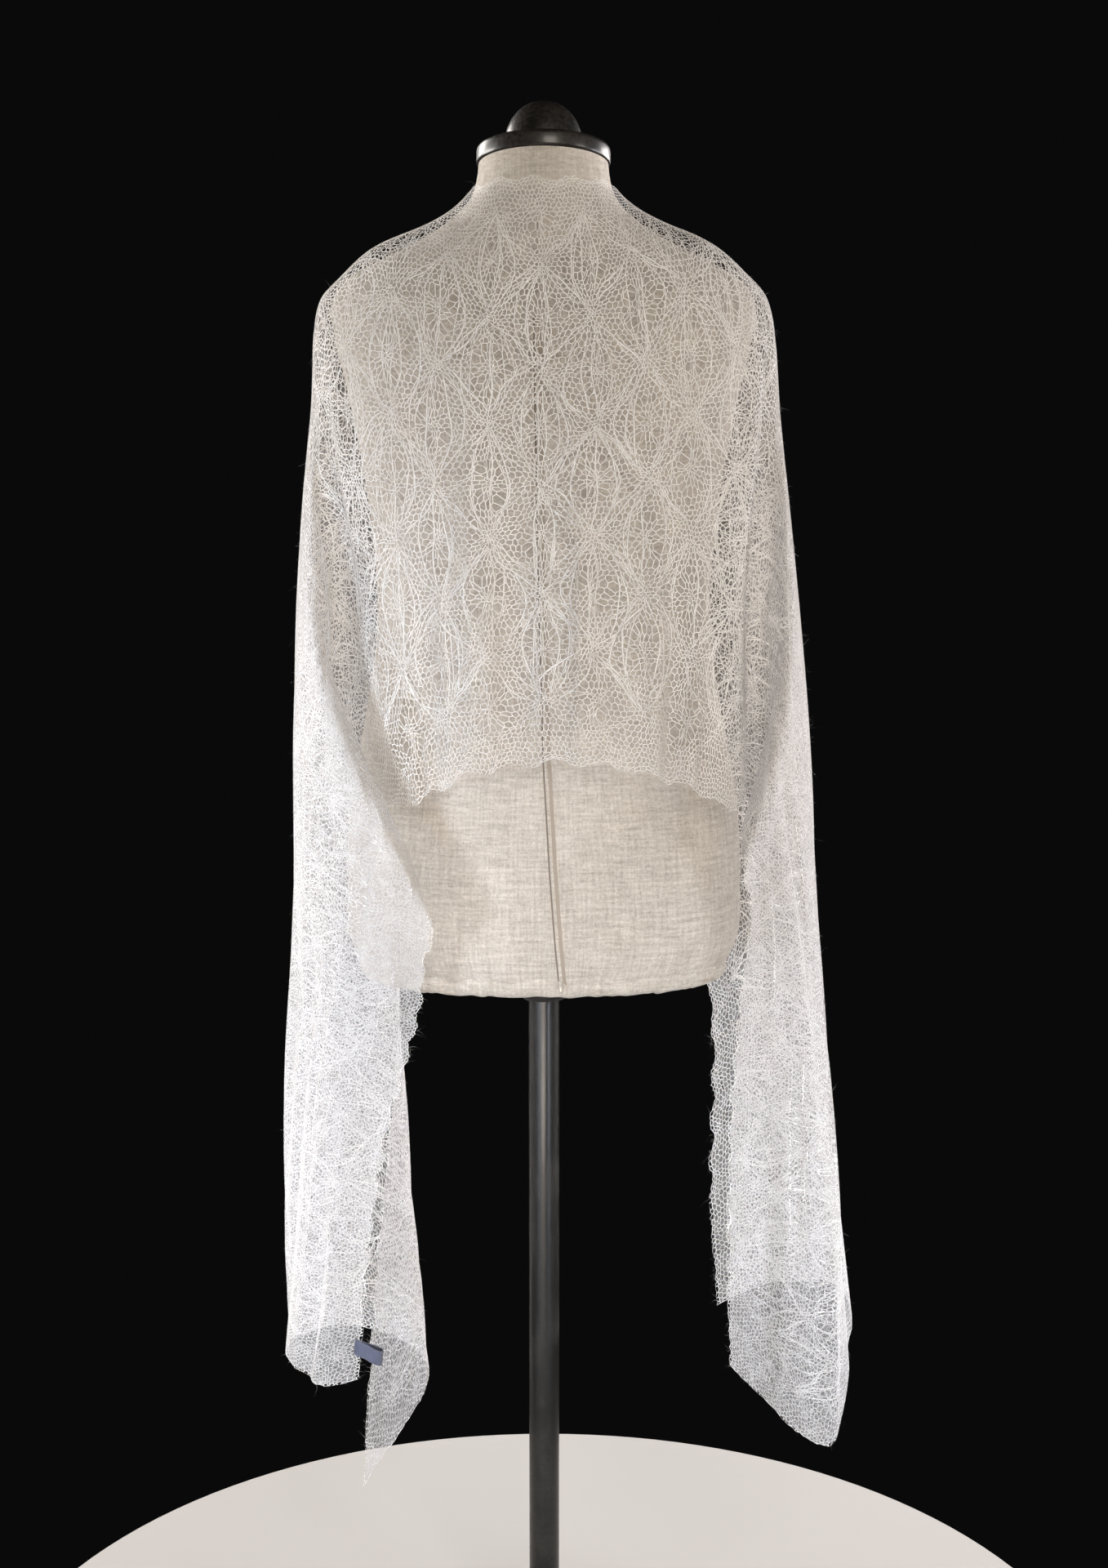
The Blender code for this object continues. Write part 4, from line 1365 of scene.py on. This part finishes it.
@dataclass
class LaceStrands:
    """The bold strands of the chart: decreases that run in arcs from node to node round each petal."""

    drape: Drape
    net: LaceNet
    segments: int = 8
    strands: tuple[Strand, ...] = (
        Strand(0, -0.0225), Strand(0, -0.0155), Strand(0, -0.0070), Strand(0, 0.0070), Strand(0, 0.0155),
        Strand(0, 0.0225), Strand(1, 0.0065), Strand(1, -0.0055), Strand(-1, -0.0065), Strand(-1, 0.0055),
    )
    kept: float = 0.84
    half_width: tuple[float, float] = (0.00060, 0.00110)
    edge_cover: float = 0.55
    rise: float = 0.0010
    edge_rise: float = 0.0003
    wobble: float = 0.0013
    bow_jitter: float = 0.0042
    along_jitter: float = 0.0026
    across_jitter: float = 0.0040
    seed: int = 31

    def arcs(self) -> np.ndarray:
        """Where the strands' middle lines run in the cloth's plane, as an array [strand, station, 2]."""
        rng = np.random.default_rng(self.seed)
        share = np.linspace(0.0, 1.0, self.segments + 1)
        found = []
        for foot in self.net.feet(0.0):
            for strand in self.strands:
                first, last = rng.uniform(0.0, 0.12), rng.uniform(0.80, 1.0)
                run = first + (last - first) * share
                turns = rng.uniform(0.0, math.tau, 2)
                aside = (strand.bow + rng.normal(0.0, self.bow_jitter)) * np.sin(run * math.pi) ** 0.85
                aside += strand.columns * self.net.node_along * run
                aside += self.wobble * np.sin(run * 11.0 + turns[0])
                along = foot[0] + aside + rng.normal(0.0, self.along_jitter)
                reach = self.net.node_across * (1.0 - 0.5 * abs(strand.columns))
                across = foot[1] + rng.normal(0.0, self.across_jitter) + run * reach
                across += self.wobble * np.sin(run * 9.0 + turns[1])
                line = np.column_stack([along, across])
                if rng.random() < self.kept and self.net.chart_share(line).min() > 0.3:
                    found.append(line)
        return np.array(found)

    def build(self) -> bpy.types.Object:
        """Lay a low rounded ribbon along each strand.

        Returns:
            The strands.
        """
        rng = np.random.default_rng(self.seed + 1)
        arcs = self.arcs()
        count = len(arcs)
        bm = bmesh.new()
        bmesh.ops.create_grid(bm, x_segments=self.segments, y_segments=3 * count - 1, size=1.0)
        place = (coordinates(bm)[:, :2] + 1.0) / 2.0 * (self.segments, 3 * count - 1)
        station, row = np.rint(place).astype(int).T
        strand, line = row // 3, row % 3 - 1
        gaps = [face for face in bm.faces if len({int(strand[vert.index]) for vert in face.verts}) > 1]
        heading = np.gradient(arcs, axis=1)
        heading /= np.linalg.norm(heading, axis=2, keepdims=True)
        aside = np.stack([-heading[:, :, 1], heading[:, :, 0]], axis=2)
        half = rng.uniform(*self.half_width, count)[:, None, None]
        half = half * (0.6 + 0.4 * np.sin(np.linspace(0.0, math.pi, self.segments + 1)))[None, :, None]
        flat = arcs[strand, station] + (aside * half)[strand, station] * line[:, None]
        rise = np.where(line == 0, self.rise, self.edge_rise)
        move_to(bm, self.drape.lay(flat[:, 0], flat[:, 1], rise))
        layer = bm.verts.layers.float.new("across_yarn")
        for vert, cover in zip(bm.verts, (np.abs(line) * self.edge_cover).tolist()):
            vert[layer] = cover
        bmesh.ops.delete(bm, geom=gaps, context="FACES")
        return finished("lace_strands", bm, MOHAIR, sharp=180.0)


@dataclass
class MohairFuzz:
    """Fine fibres that stand off the yarn and make the cloth's soft outline."""

    drape: Drape
    net: LaceNet
    count: int = 12000
    length: tuple[float, float] = (0.003, 0.010)
    width: float = 0.00016
    edge_share: float = 0.13
    seed: int = 23

    def build(self) -> bpy.types.Object:
        """Lay out one strip of two faces for each fibre, and bend it off the cloth.

        Returns:
            The fibres.
        """
        rng = np.random.default_rng(self.seed)
        along = rng.uniform(-self.drape.length / 2, self.drape.length / 2, self.count)
        across = rng.uniform(0.0, self.drape.width, self.count)
        at_edge = rng.random(self.count) < self.edge_share
        across[at_edge] = np.where(rng.random(at_edge.sum()) < 0.5, 0.0, self.drape.width)
        along, across = self.net.swayed(np.column_stack([along, across])).T
        roots = self.drape.lay(along, across, np.full(self.count, 0.0003))
        outward = (self.drape.lay(along, across, np.full(self.count, 0.0013)) - roots) / 0.001
        aim = rng.normal(0.0, 1.0, (self.count, 3)) + outward * rng.uniform(0.1, 1.6, (self.count, 1))
        aim /= np.linalg.norm(aim, axis=1, keepdims=True)
        reach = rng.uniform(*self.length, (self.count, 1))
        side = np.cross(aim, rng.normal(0.0, 1.0, (self.count, 3)))
        side *= self.width / 2 / np.linalg.norm(side, axis=1, keepdims=True)
        bend = aim + (0.0, 0.0, -0.35) + rng.normal(0.0, 0.45, (self.count, 3))
        middle = roots + aim * reach * 0.5
        stations = np.stack([roots, middle, middle + bend * reach * 0.5])
        bm = bmesh.new()
        bmesh.ops.create_grid(bm, x_segments=2, y_segments=2 * self.count - 1, size=1.0)
        place = (coordinates(bm)[:, :2] + 1.0) / 2.0 * (2, 2 * self.count - 1)
        station, row = np.rint(place).astype(int).T
        hair, edge = row // 2, row % 2
        thin = (1.0 - 0.35 * station)[:, None] * np.where(edge == 0, -1.0, 1.0)[:, None]
        gaps = [face for face in bm.faces if len({int(hair[vert.index]) for vert in face.verts}) > 1]
        move_to(bm, stations[station, hair] + side[hair] * thin)
        layer = bm.verts.layers.float.new("towards_tip")
        for vert, share in zip(bm.verts, (station / 2.0).tolist()):
            vert[layer] = share
        bmesh.ops.delete(bm, geom=gaps, context="FACES")
        return finished("mohair_fibres", bm, HAIR, sharp=180.0)


@dataclass
class MohairVeilAndShade:
    """The brushed nap that lies across the lace: a thin film of crossing fibres, coloured grey as painted
    shade between the yarns.
    """

    drape: Drape
    net: LaceNet
    columns: int = 420
    rows: int = 84
    rise: float = 0.0001
    margin: float = 0.0028

    def build(self) -> bpy.types.Object:
        """Lay a grid over the draped cloth.

        Returns:
            The veil.
        """
        bm = bmesh.new()
        bmesh.ops.create_grid(bm, x_segments=self.columns, y_segments=self.rows, size=1.0)
        flat = coordinates(bm)[:, :2] * (self.drape.length / 2, self.drape.width / 2)
        flat[:, 1] += self.drape.width / 2
        inside = np.clip(flat, (-self.drape.length / 2 + self.margin, self.margin),
                         (self.drape.length / 2 - self.margin, self.drape.width - self.margin))
        inside = self.net.swayed(inside)
        layer = bm.loops.layers.uv.new(CLOTH_MAP)
        bm.verts.index_update()
        for face in bm.faces:
            for loop in face.loops:
                loop[layer].uv = flat[loop.vert.index]
        move_to(bm, self.drape.lay(inside[:, 0], inside[:, 1], np.full(len(inside), self.rise)))
        veil = finished("mohair_veil_and_painted_shade", bm, VEIL_AND_SHADE, sharp=180.0)
        return veil


# The dress form


@dataclass
class DressForm:
    """The linen-covered torso with its centre-back seam, zip and gathered rim."""

    sides: int = 160
    levels: int = 100
    girth: float = 1.1
    centre_y: float = 0.002
    inset: float = 0.0004
    neck_tilt: float = math.radians(7.0)
    zip_top: float = 1.304
    zip_line: tuple[tuple[float, float], ...] = (
        (0.712, 0.0164), (0.76, 0.0120), (0.82, 0.0075), (0.92, 0.0018), (1.10, -0.0030), (1.304, -0.0062),
        (1.45, -0.0041),
    )

    seam_top: float = 1.438
    rim_sides: int = 360
    ruffle: float = 0.0030
    rim_wall: float = 0.0009
    rim_turns: tuple[RimTurn, ...] = (
        RimTurn(0.016, 0.0006, 0.0), RimTurn(0.009, 0.0022, 0.4), RimTurn(0.002, 0.0030, 1.0),
        RimTurn(-0.005, 0.0018, 1.3), RimTurn(-0.008, -0.0015, 1.2), RimTurn(-0.0085, -0.0060, 0.8),
    )
    flap: tuple[Spot, ...] = (
        Spot(-0.0060, 0.0002), Spot(-0.0052, 0.0009), Spot(-0.0040, 0.0014), Spot(-0.0030, 0.0012),
        Spot(-0.0026, 0.0004),
    )
    ridge: tuple[Spot, ...] = (
        Spot(-0.0012, 0.0004), Spot(-0.0007, 0.0010), Spot(0.0003, 0.0013), Spot(0.0013, 0.0010),
        Spot(0.0017, 0.0004),
    )
    # Dark strips low in the gaps beside the flap and the ridge; their colour partly paints the gaps' shade.
    tape: tuple[Spot, ...] = (Spot(-0.0028, 0.0004), Spot(-0.0010, 0.0004))
    tape_edge: tuple[Spot, ...] = (Spot(0.0015, 0.0003), Spot(0.0044, 0.0003), Spot(0.0050, 0.0001))
    seam: tuple[Spot, ...] = (Spot(-0.0005, 0.0002), Spot(0.0005, 0.0002))

    def ring_at(self, height: float) -> Ring:
        """The torso's ring at a height, on smooth curves through the named rings."""
        knots = np.array([ring.height for ring in TORSO_RINGS])
        values = np.array([ring[1:] for ring in TORSO_RINGS])
        half_width, back, front, power = smooth_between(knots, values, np.array([height]))[0]
        return Ring(height, half_width, back, front, power)

    def point_on(self, height: float, angle: float, out: float = 0.0) -> Vector:
        """A point of the torso's skin, a little out of it if asked."""
        ring = self.ring_at(height)
        c, s = math.cos(angle), math.sin(angle)
        x = (ring.half_width - self.inset + out) * math.copysign(abs(c) ** (2 / ring.power), c)
        deep = (ring.back if s < 0 else ring.front) - self.inset + out
        y = self.centre_y + deep * math.copysign(abs(s) ** (2 / ring.power), s)
        share = min(1.0, max(0.0, (height - 1.40) / 0.047))
        return Vector((x, y, height - math.tan(self.neck_tilt) * y * share))

    def back_at(self, height: float, x: float, out: float = 0.0) -> Vector:
        """The point of the torso's back at a height and a distance from its middle."""
        ring = self.ring_at(height)
        share = min(0.999, abs(x) / ring.half_width)
        deep = (ring.back - self.inset) * (1.0 - share**ring.power) ** (1 / ring.power)
        return Vector((x, self.centre_y - deep - out, height))

    def zip_x(self, height: float) -> float:
        """Where the zip and the centre-back seam run."""
        heights, places = zip(*self.zip_line)
        return float(np.interp(height, heights, places))

    def build(self) -> None:
        """Build the cover and what is sewn to it."""
        self.cover()
        self.rim()
        self.zip_parts()

    def cover(self) -> bpy.types.Object:
        """The linen skin, lofted through rings."""
        bm = bmesh.new()
        heights = np.linspace(TORSO_RINGS[0].height, TORSO_RINGS[-1].height, self.levels)
        loops = []
        for height in heights:
            made = bmesh.ops.create_circle(bm, segments=self.sides, radius=1.0)["verts"]
            for k, vert in enumerate(made):
                angle = math.atan2(vert.co.y, vert.co.x)
                vert.co = self.point_on(float(height), angle)
            loops.append([edge for edge in {e for v in made for e in v.link_edges}])
        for lower, upper in zip(loops, loops[1:]):
            bmesh.ops.bridge_loops(bm, edges=lower + upper)
        for end in (loops[0], loops[-1]):
            bmesh.ops.edgeloop_fill(bm, edges=end)
        bmesh.ops.recalc_face_normals(bm, faces=bm.faces[:])
        write_map(bm, CLOTH_MAP, lambda co: (self.girth * math.atan2(co.x, -co.y) / math.tau, co.z))
        close_map(bm, CLOTH_MAP, self.girth)
        return finished("linen_cover", bm, LINEN, ["form_torso"], sharp=60.0)

    def rim(self) -> bpy.types.Object:
        """The cover's gathered lower rim, turned under."""
        bm = bmesh.new()
        rng = np.random.default_rng(5)
        sides = self.rim_sides
        gathers = sum(
            rng.uniform(0.4, 1.0) * np.sin(np.arange(sides) * math.tau / sides * n + rng.uniform(0, 6.28))
            for n in (23, 34, 47, 61, 83)
        ) / 2.2
        loops = []
        for lift, out, share in self.rim_turns:
            made = bmesh.ops.create_circle(bm, segments=sides, radius=1.0)["verts"]
            for k, vert in enumerate(made):
                angle = math.atan2(vert.co.y, vert.co.x)
                ruffle = self.ruffle * share * float(gathers[k])
                point = self.point_on(TORSO_RINGS[0].height, angle, out + ruffle)
                vert.co = point + Vector((0, 0, lift + 0.5 * ruffle))
            loops.append([edge for edge in {e for v in made for e in v.link_edges}])
        for lower, upper in zip(loops, loops[1:]):
            bmesh.ops.bridge_loops(bm, edges=lower + upper)
        bmesh.ops.recalc_face_normals(bm, faces=bm.faces[:])
        write_map(bm, CLOTH_MAP, lambda co: (self.girth * math.atan2(co.x, -co.y) / math.tau, co.z))
        close_map(bm, CLOTH_MAP, self.girth)
        rim = finished("gathered_rim", bm, LINEN, sharp=180.0)
        wall = rim.modifiers.new("wall", "SOLIDIFY")
        wall.thickness = self.rim_wall
        wall.offset = 0.0
        return rim

    def zip_parts(self) -> None:
        """The concealed zip: a folded linen flap on each side, dark tape between, whose colour is partly
        painted shade of the gaps, and the seam above it.
        """
        foot, top = TORSO_RINGS[0].height + 0.001, self.zip_top
        self.strip("zip_flap", LINEN, self.flap, foot, top)
        self.strip("zip_ridge", LINEN, self.ridge, foot, top)
        self.strip("zip_tape_and_gap_shade", TAPE_AND_GAP_SHADE, self.tape, foot, top)
        self.strip("zip_edge_tape_and_gap_shade", TAPE_EDGE_SHADE_AND_SEAM, self.tape_edge, foot, top)
        self.strip("centre_back_seam", TAPE_EDGE_SHADE_AND_SEAM, self.seam, top, self.seam_top)
        self.slider()

    def strip(
        self, name: str, finish: Finish, profile: Sequence[Spot], foot: float, top: float
    ) -> bpy.types.Object:
        """A strip that follows the zip's line.

        Args:
            name: The strip's name.
            finish: Its finish.
            profile: Its points from left to right.
            foot: The height of its lower end.
            top: The height of its upper end.

        Returns:
            The strip.
        """
        bm = bmesh.new()
        heights = np.linspace(foot, top, 150)
        middle = self.zip_x(heights[0])
        start = [bm.verts.new(self.back_at(heights[0], middle + x, out)) for x, out in profile]
        edges = [bm.edges.new(pair) for pair in zip(start, start[1:])]
        for height in heights[1:]:
            grown = bmesh.ops.extrude_edge_only(bm, edges=edges)["geom"]
            verts = [item for item in grown if isinstance(item, bmesh.types.BMVert)]
            edges = [item for item in grown if isinstance(item, bmesh.types.BMEdge)]
            middle = self.zip_x(float(height))
            for vert, (x, out) in zip(sorted(verts, key=lambda vert: vert.co.x), profile):
                vert.co = self.back_at(float(height), middle + x, out)
        bmesh.ops.recalc_face_normals(bm, faces=bm.faces[:])
        if bm.faces[0].normal.y > 0:
            bmesh.ops.reverse_faces(bm, faces=bm.faces[:])
        write_map(bm, CLOTH_MAP, lambda co: (co.x, co.z))
        return finished(name, bm, finish, sharp=180.0)

    def slider(self) -> bpy.types.Object:
        """The zip's slider at its lower end, with a bridge and a short pull."""
        bm = bmesh.new()
        height = TORSO_RINGS[0].height + 0.005
        middle = self.back_at(height, self.zip_x(height), 0.0018)
        body = bmesh.ops.create_cube(bm, size=1.0)["verts"]
        bmesh.ops.scale(bm, vec=(0.0050, 0.0026, 0.0060), verts=body)
        for vert in body:
            if vert.co.z < 0:
                vert.co.x *= 0.66
        bridge = bmesh.ops.create_cube(bm, size=1.0)["verts"]
        bmesh.ops.scale(bm, vec=(0.0014, 0.0020, 0.0044), verts=bridge)
        bmesh.ops.translate(bm, vec=(0, -0.0020, 0), verts=bridge)
        pull = bmesh.ops.create_cube(bm, size=1.0)["verts"]
        bmesh.ops.scale(bm, vec=(0.0030, 0.0010, 0.0064), verts=pull)
        bmesh.ops.translate(bm, vec=(0, -0.0034, -0.0040), verts=pull)
        bmesh.ops.bevel(bm, geom=bm.edges[:], offset=0.0004, offset_type="OFFSET", segments=2, profile=0.5,
                        affect="EDGES", material=-1)
        bmesh.ops.translate(bm, vec=middle, verts=bm.verts[:])
        bmesh.ops.recalc_face_normals(bm, faces=bm.faces[:])
        return finished("zip_slider", bm, METAL)


@dataclass
class NeckCap:
    """Turned and lacquered cap on the neck: a broad ring under a bell-shaped dome."""

    radius: float = 0.0605
    ring: float = 0.0165
    dome_radius: float = 0.0355
    dome: float = 0.040
    dome_steps: int = 20
    sides: int = 128
    gap: float = 0.0003
    tilt: float = math.radians(7.0)
    foot: float = 1.447
    centre_y: float = 0.002

    def profile(self) -> list[Turn]:
        """The cap's outline from the axis at its foot to the axis at its top."""
        r, h = self.radius, self.ring
        outline = [Turn(0.0, 0.0), Turn(r - 0.0026, 0.0), Turn(r - 0.0010, 0.0004)]
        outline += [Turn(r - 0.0002, 0.0014), Turn(r, 0.003)]
        outline += [Turn(r, h - 0.0052), Turn(r - 0.0004, h - 0.0034)]
        outline += [Turn(r - 0.0014, h - 0.0018), Turn(r - 0.0036, h - 0.0008)]
        groove = self.dome_radius
        outline += [Turn(groove + 0.0050, h + 0.0002), Turn(groove + 0.0033, h - 0.0002)]
        outline += [Turn(groove + 0.0021, h + 0.0006), Turn(groove + 0.0011, h + 0.0016)]
        for step in range(1, self.dome_steps):
            angle = math.pi / 2 * step / self.dome_steps
            outline.append(Turn(self.dome_radius * math.cos(angle) ** 0.9, h + self.dome * math.sin(angle)))
        return outline + [Turn(0.0, h + self.dome)]

    def build(self) -> bpy.types.Object:
        """The cap, tilted with the neck's top."""
        bm = turned(self.profile(), self.sides)
        lift = self.gap / math.cos(self.tilt)
        foot = Vector((0.0, self.centre_y, self.foot + lift - math.tan(self.tilt) * self.centre_y))
        placed = Matrix.Translation(foot) @ Matrix.Rotation(-self.tilt, 4, "X")
        bmesh.ops.transform(bm, matrix=placed, verts=bm.verts[:])
        return finished("neck_cap", bm, LACQUER, ["form_neck_cap"], sharp=50.0)


@dataclass
class Stand:
    """Round base, pole and collar that carry the torso."""

    base_radius: float = 0.190
    base_thick: float = 0.016
    socket_top: float = 0.038
    pole_radius: float = 0.0145
    collar_radius: float = 0.030
    collar_height: float = 0.034
    collar_top: float = 0.7147
    pole_edge: float = 0.0006
    gap: float = 0.0003
    base_sides: int = 128
    pole_sides: int = 64

    def build(self) -> None:
        """Turn the three pieces."""
        r, t = self.base_radius, self.base_thick
        base = [Turn(0, 0), Turn(r - 0.003, 0), Turn(r - 0.0008, 0.0008), Turn(r, 0.003), Turn(r, 0.0074)]
        base += [Turn(r - 0.0012, 0.0104), Turn(r - 0.006, 0.0125), Turn(0.120, 0.0146)]
        base += [Turn(0.060, t), Turn(0.040, t + 0.001)]
        base += [Turn(0.030, t + 0.004), Turn(0.0272, t + 0.012), Turn(0.026, self.socket_top - 0.001)]
        base += [Turn(0.025, self.socket_top), Turn(0, self.socket_top)]
        finished("stand_foot", turned(base, self.base_sides), LACQUER, ["stand_base"])
        foot, top = self.socket_top + self.gap, self.collar_top - self.collar_height - self.gap
        p = self.pole_radius
        round_off = self.pole_edge
        pole = [Turn(0, foot), Turn(p - round_off, foot), Turn(p, foot + round_off)]
        pole += [Turn(p, top - round_off), Turn(p - round_off, top), Turn(0, top)]
        finished("stand_shaft", turned(pole, self.pole_sides), LACQUER, ["stand_pole"])
        low = self.collar_top - self.collar_height
        wide, high = self.collar_radius, self.collar_top
        collar = [Turn(0, low), Turn(p + 0.005, low), Turn(p + 0.007, low + 0.004)]
        collar += [Turn(p + 0.007, high - 0.012), Turn(wide - 0.001, high - 0.006)]
        collar += [Turn(wide, high - 0.005), Turn(wide, high), Turn(0, high)]
        finished("stand_sleeve", turned(collar, self.pole_sides), LACQUER, ["stand_collar"])


# The label


@dataclass
class SatinLabel:
    """Bare satin loop that clasps the hem edge near the left end."""

    drape: Drape
    along_from: float = -1.2150
    along_to: float = -1.1950
    steps: int = 14
    wall: float = 0.0005
    reach: float = 0.0202
    droop: float = 0.6
    upper: tuple[Spot, ...] = (
        Spot(-0.006, 0.0014), Spot(0.000, 0.0014), Spot(0.005, 0.0018), Spot(0.010, 0.0034),
        Spot(0.015, 0.0038),
        Spot(0.0185, 0.0030),
    )

    def build(self) -> bpy.types.Object:
        """Sweep the loop's outline along the cloth's edge."""
        profile = self.upper + (Spot(self.reach, 0.0),) + tuple(Spot(x, -out) for x, out in self.upper[::-1])
        strips = []
        for along in np.linspace(self.along_from, self.along_to, self.steps + 1):
            place = np.array([along])
            width = self.drape.width
            edge = self.drape.lay(place, np.array([width]), np.zeros(1))[0]
            inner = self.drape.lay(place, np.array([width - 0.02]), np.zeros(1))[0]
            above = self.drape.lay(place, np.array([width]), np.full(1, 0.001))[0]
            normal = (above - edge) / 0.001
            outward = (edge - inner) / np.linalg.norm(edge - inner) + np.array([0.0, 0.0, -self.droop])
            strips.append([edge + aside * outward + out * normal for aside, out in profile])
        bm = bmesh.new()
        verts = [bm.verts.new(point) for point in strips[0]]
        edges = [bm.edges.new(pair) for pair in zip(verts, verts[1:])]
        order = {vert: k for k, vert in enumerate(verts)}
        for strip in strips[1:]:
            made = bmesh.ops.extrude_edge_only(bm, edges=edges)["geom"]
            new = [item for item in made if isinstance(item, bmesh.types.BMVert)]
            edges = [item for item in made if isinstance(item, bmesh.types.BMEdge)]
            fresh = {}
            for vert in new:
                source = next(e.other_vert(vert) for e in vert.link_edges if e.other_vert(vert) in order)
                fresh[vert] = order[source]
            for vert, k in fresh.items():
                vert.co = strip[k]
            order = fresh
        bmesh.ops.recalc_face_normals(bm, faces=bm.faces[:])
        write_map(bm, CLOTH_MAP, lambda co: (co.x, co.z))
        label = finished("satin_label", bm, RIBBON, ["edge_label"], sharp=180.0)
        wall = label.modifiers.new("wall", "SOLIDIFY")
        wall.thickness = self.wall
        return label


# The studio


@dataclass
class Studio:
    """Plain floor, soft lights and the camera at the photograph's viewing angle."""

    eye: tuple[float, float, float] = (0.0095, -1.95, 1.127)
    pitch: float = math.radians(7.087)
    lens: float = 48.26
    floor_radius: float = 0.55

    def build(self) -> None:
        """Set up everything that isn't the object."""
        self.floor()
        self.lights()
        self.camera()

    def floor(self) -> None:
        """A pale round floor."""
        bm = bmesh.new()
        bmesh.ops.create_circle(bm, cap_ends=True, segments=128, radius=self.floor_radius)
        mesh = bpy.data.meshes.new("studio_floor")
        bm.to_mesh(mesh)
        bm.free()
        mesh.materials.append(FLOOR.make())
        floor = bpy.data.objects.new("studio_floor", mesh)
        bpy.context.scene.collection.objects.link(floor)

    def lights(self) -> None:
        """Large soft lamps and a dim even surround."""
        world = bpy.data.worlds.new("studio")
        world.use_nodes = True
        world.node_tree.nodes["Background"].inputs["Color"].default_value = (0.003, 0.003, 0.0032, 1.0)
        bpy.context.scene.world = world
        bpy.context.scene.view_settings.view_transform = "Standard"
        for name, place, aim, size, watts, spread, colour in LAMPS:
            lamp = bpy.data.lights.new(name, "AREA")
            lamp.shape = "RECTANGLE"
            lamp.size, lamp.size_y = size
            lamp.energy = watts
            lamp.spread = math.radians(spread)
            lamp.color = colour
            holder = bpy.data.objects.new(name, lamp)
            holder.location = place
            holder.rotation_euler = (Vector(aim) - Vector(place)).to_track_quat("-Z", "Y").to_euler()
            holder.visible_camera = False
            bpy.context.scene.collection.objects.link(holder)

    def camera(self) -> None:
        """The photograph's view of the form's back."""
        lens = bpy.data.cameras.new("photo_view")
        lens.lens = self.lens
        lens.sensor_width = 36.0
        camera = bpy.data.objects.new("photo_view", lens)
        camera.location = self.eye
        camera.rotation_euler = (math.pi / 2 - self.pitch, 0.0, 0.0)
        bpy.context.scene.collection.objects.link(camera)
        bpy.context.scene.camera = camera


def main() -> None:
    """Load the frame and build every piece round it."""
    logging.basicConfig(level=logging.INFO, format="%(message)s")
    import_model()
    Studio().build()
    drape = Drape()
    DressForm().build()
    NeckCap().build()
    Stand().build()
    net = LaceNet(drape)
    net.build()
    LaceStrands(drape, net).build()
    SatinLabel(drape).build()
    MohairVeilAndShade(drape, net).build()
    MohairFuzz(drape, net).build()


if __name__ == "__main__":
    main()
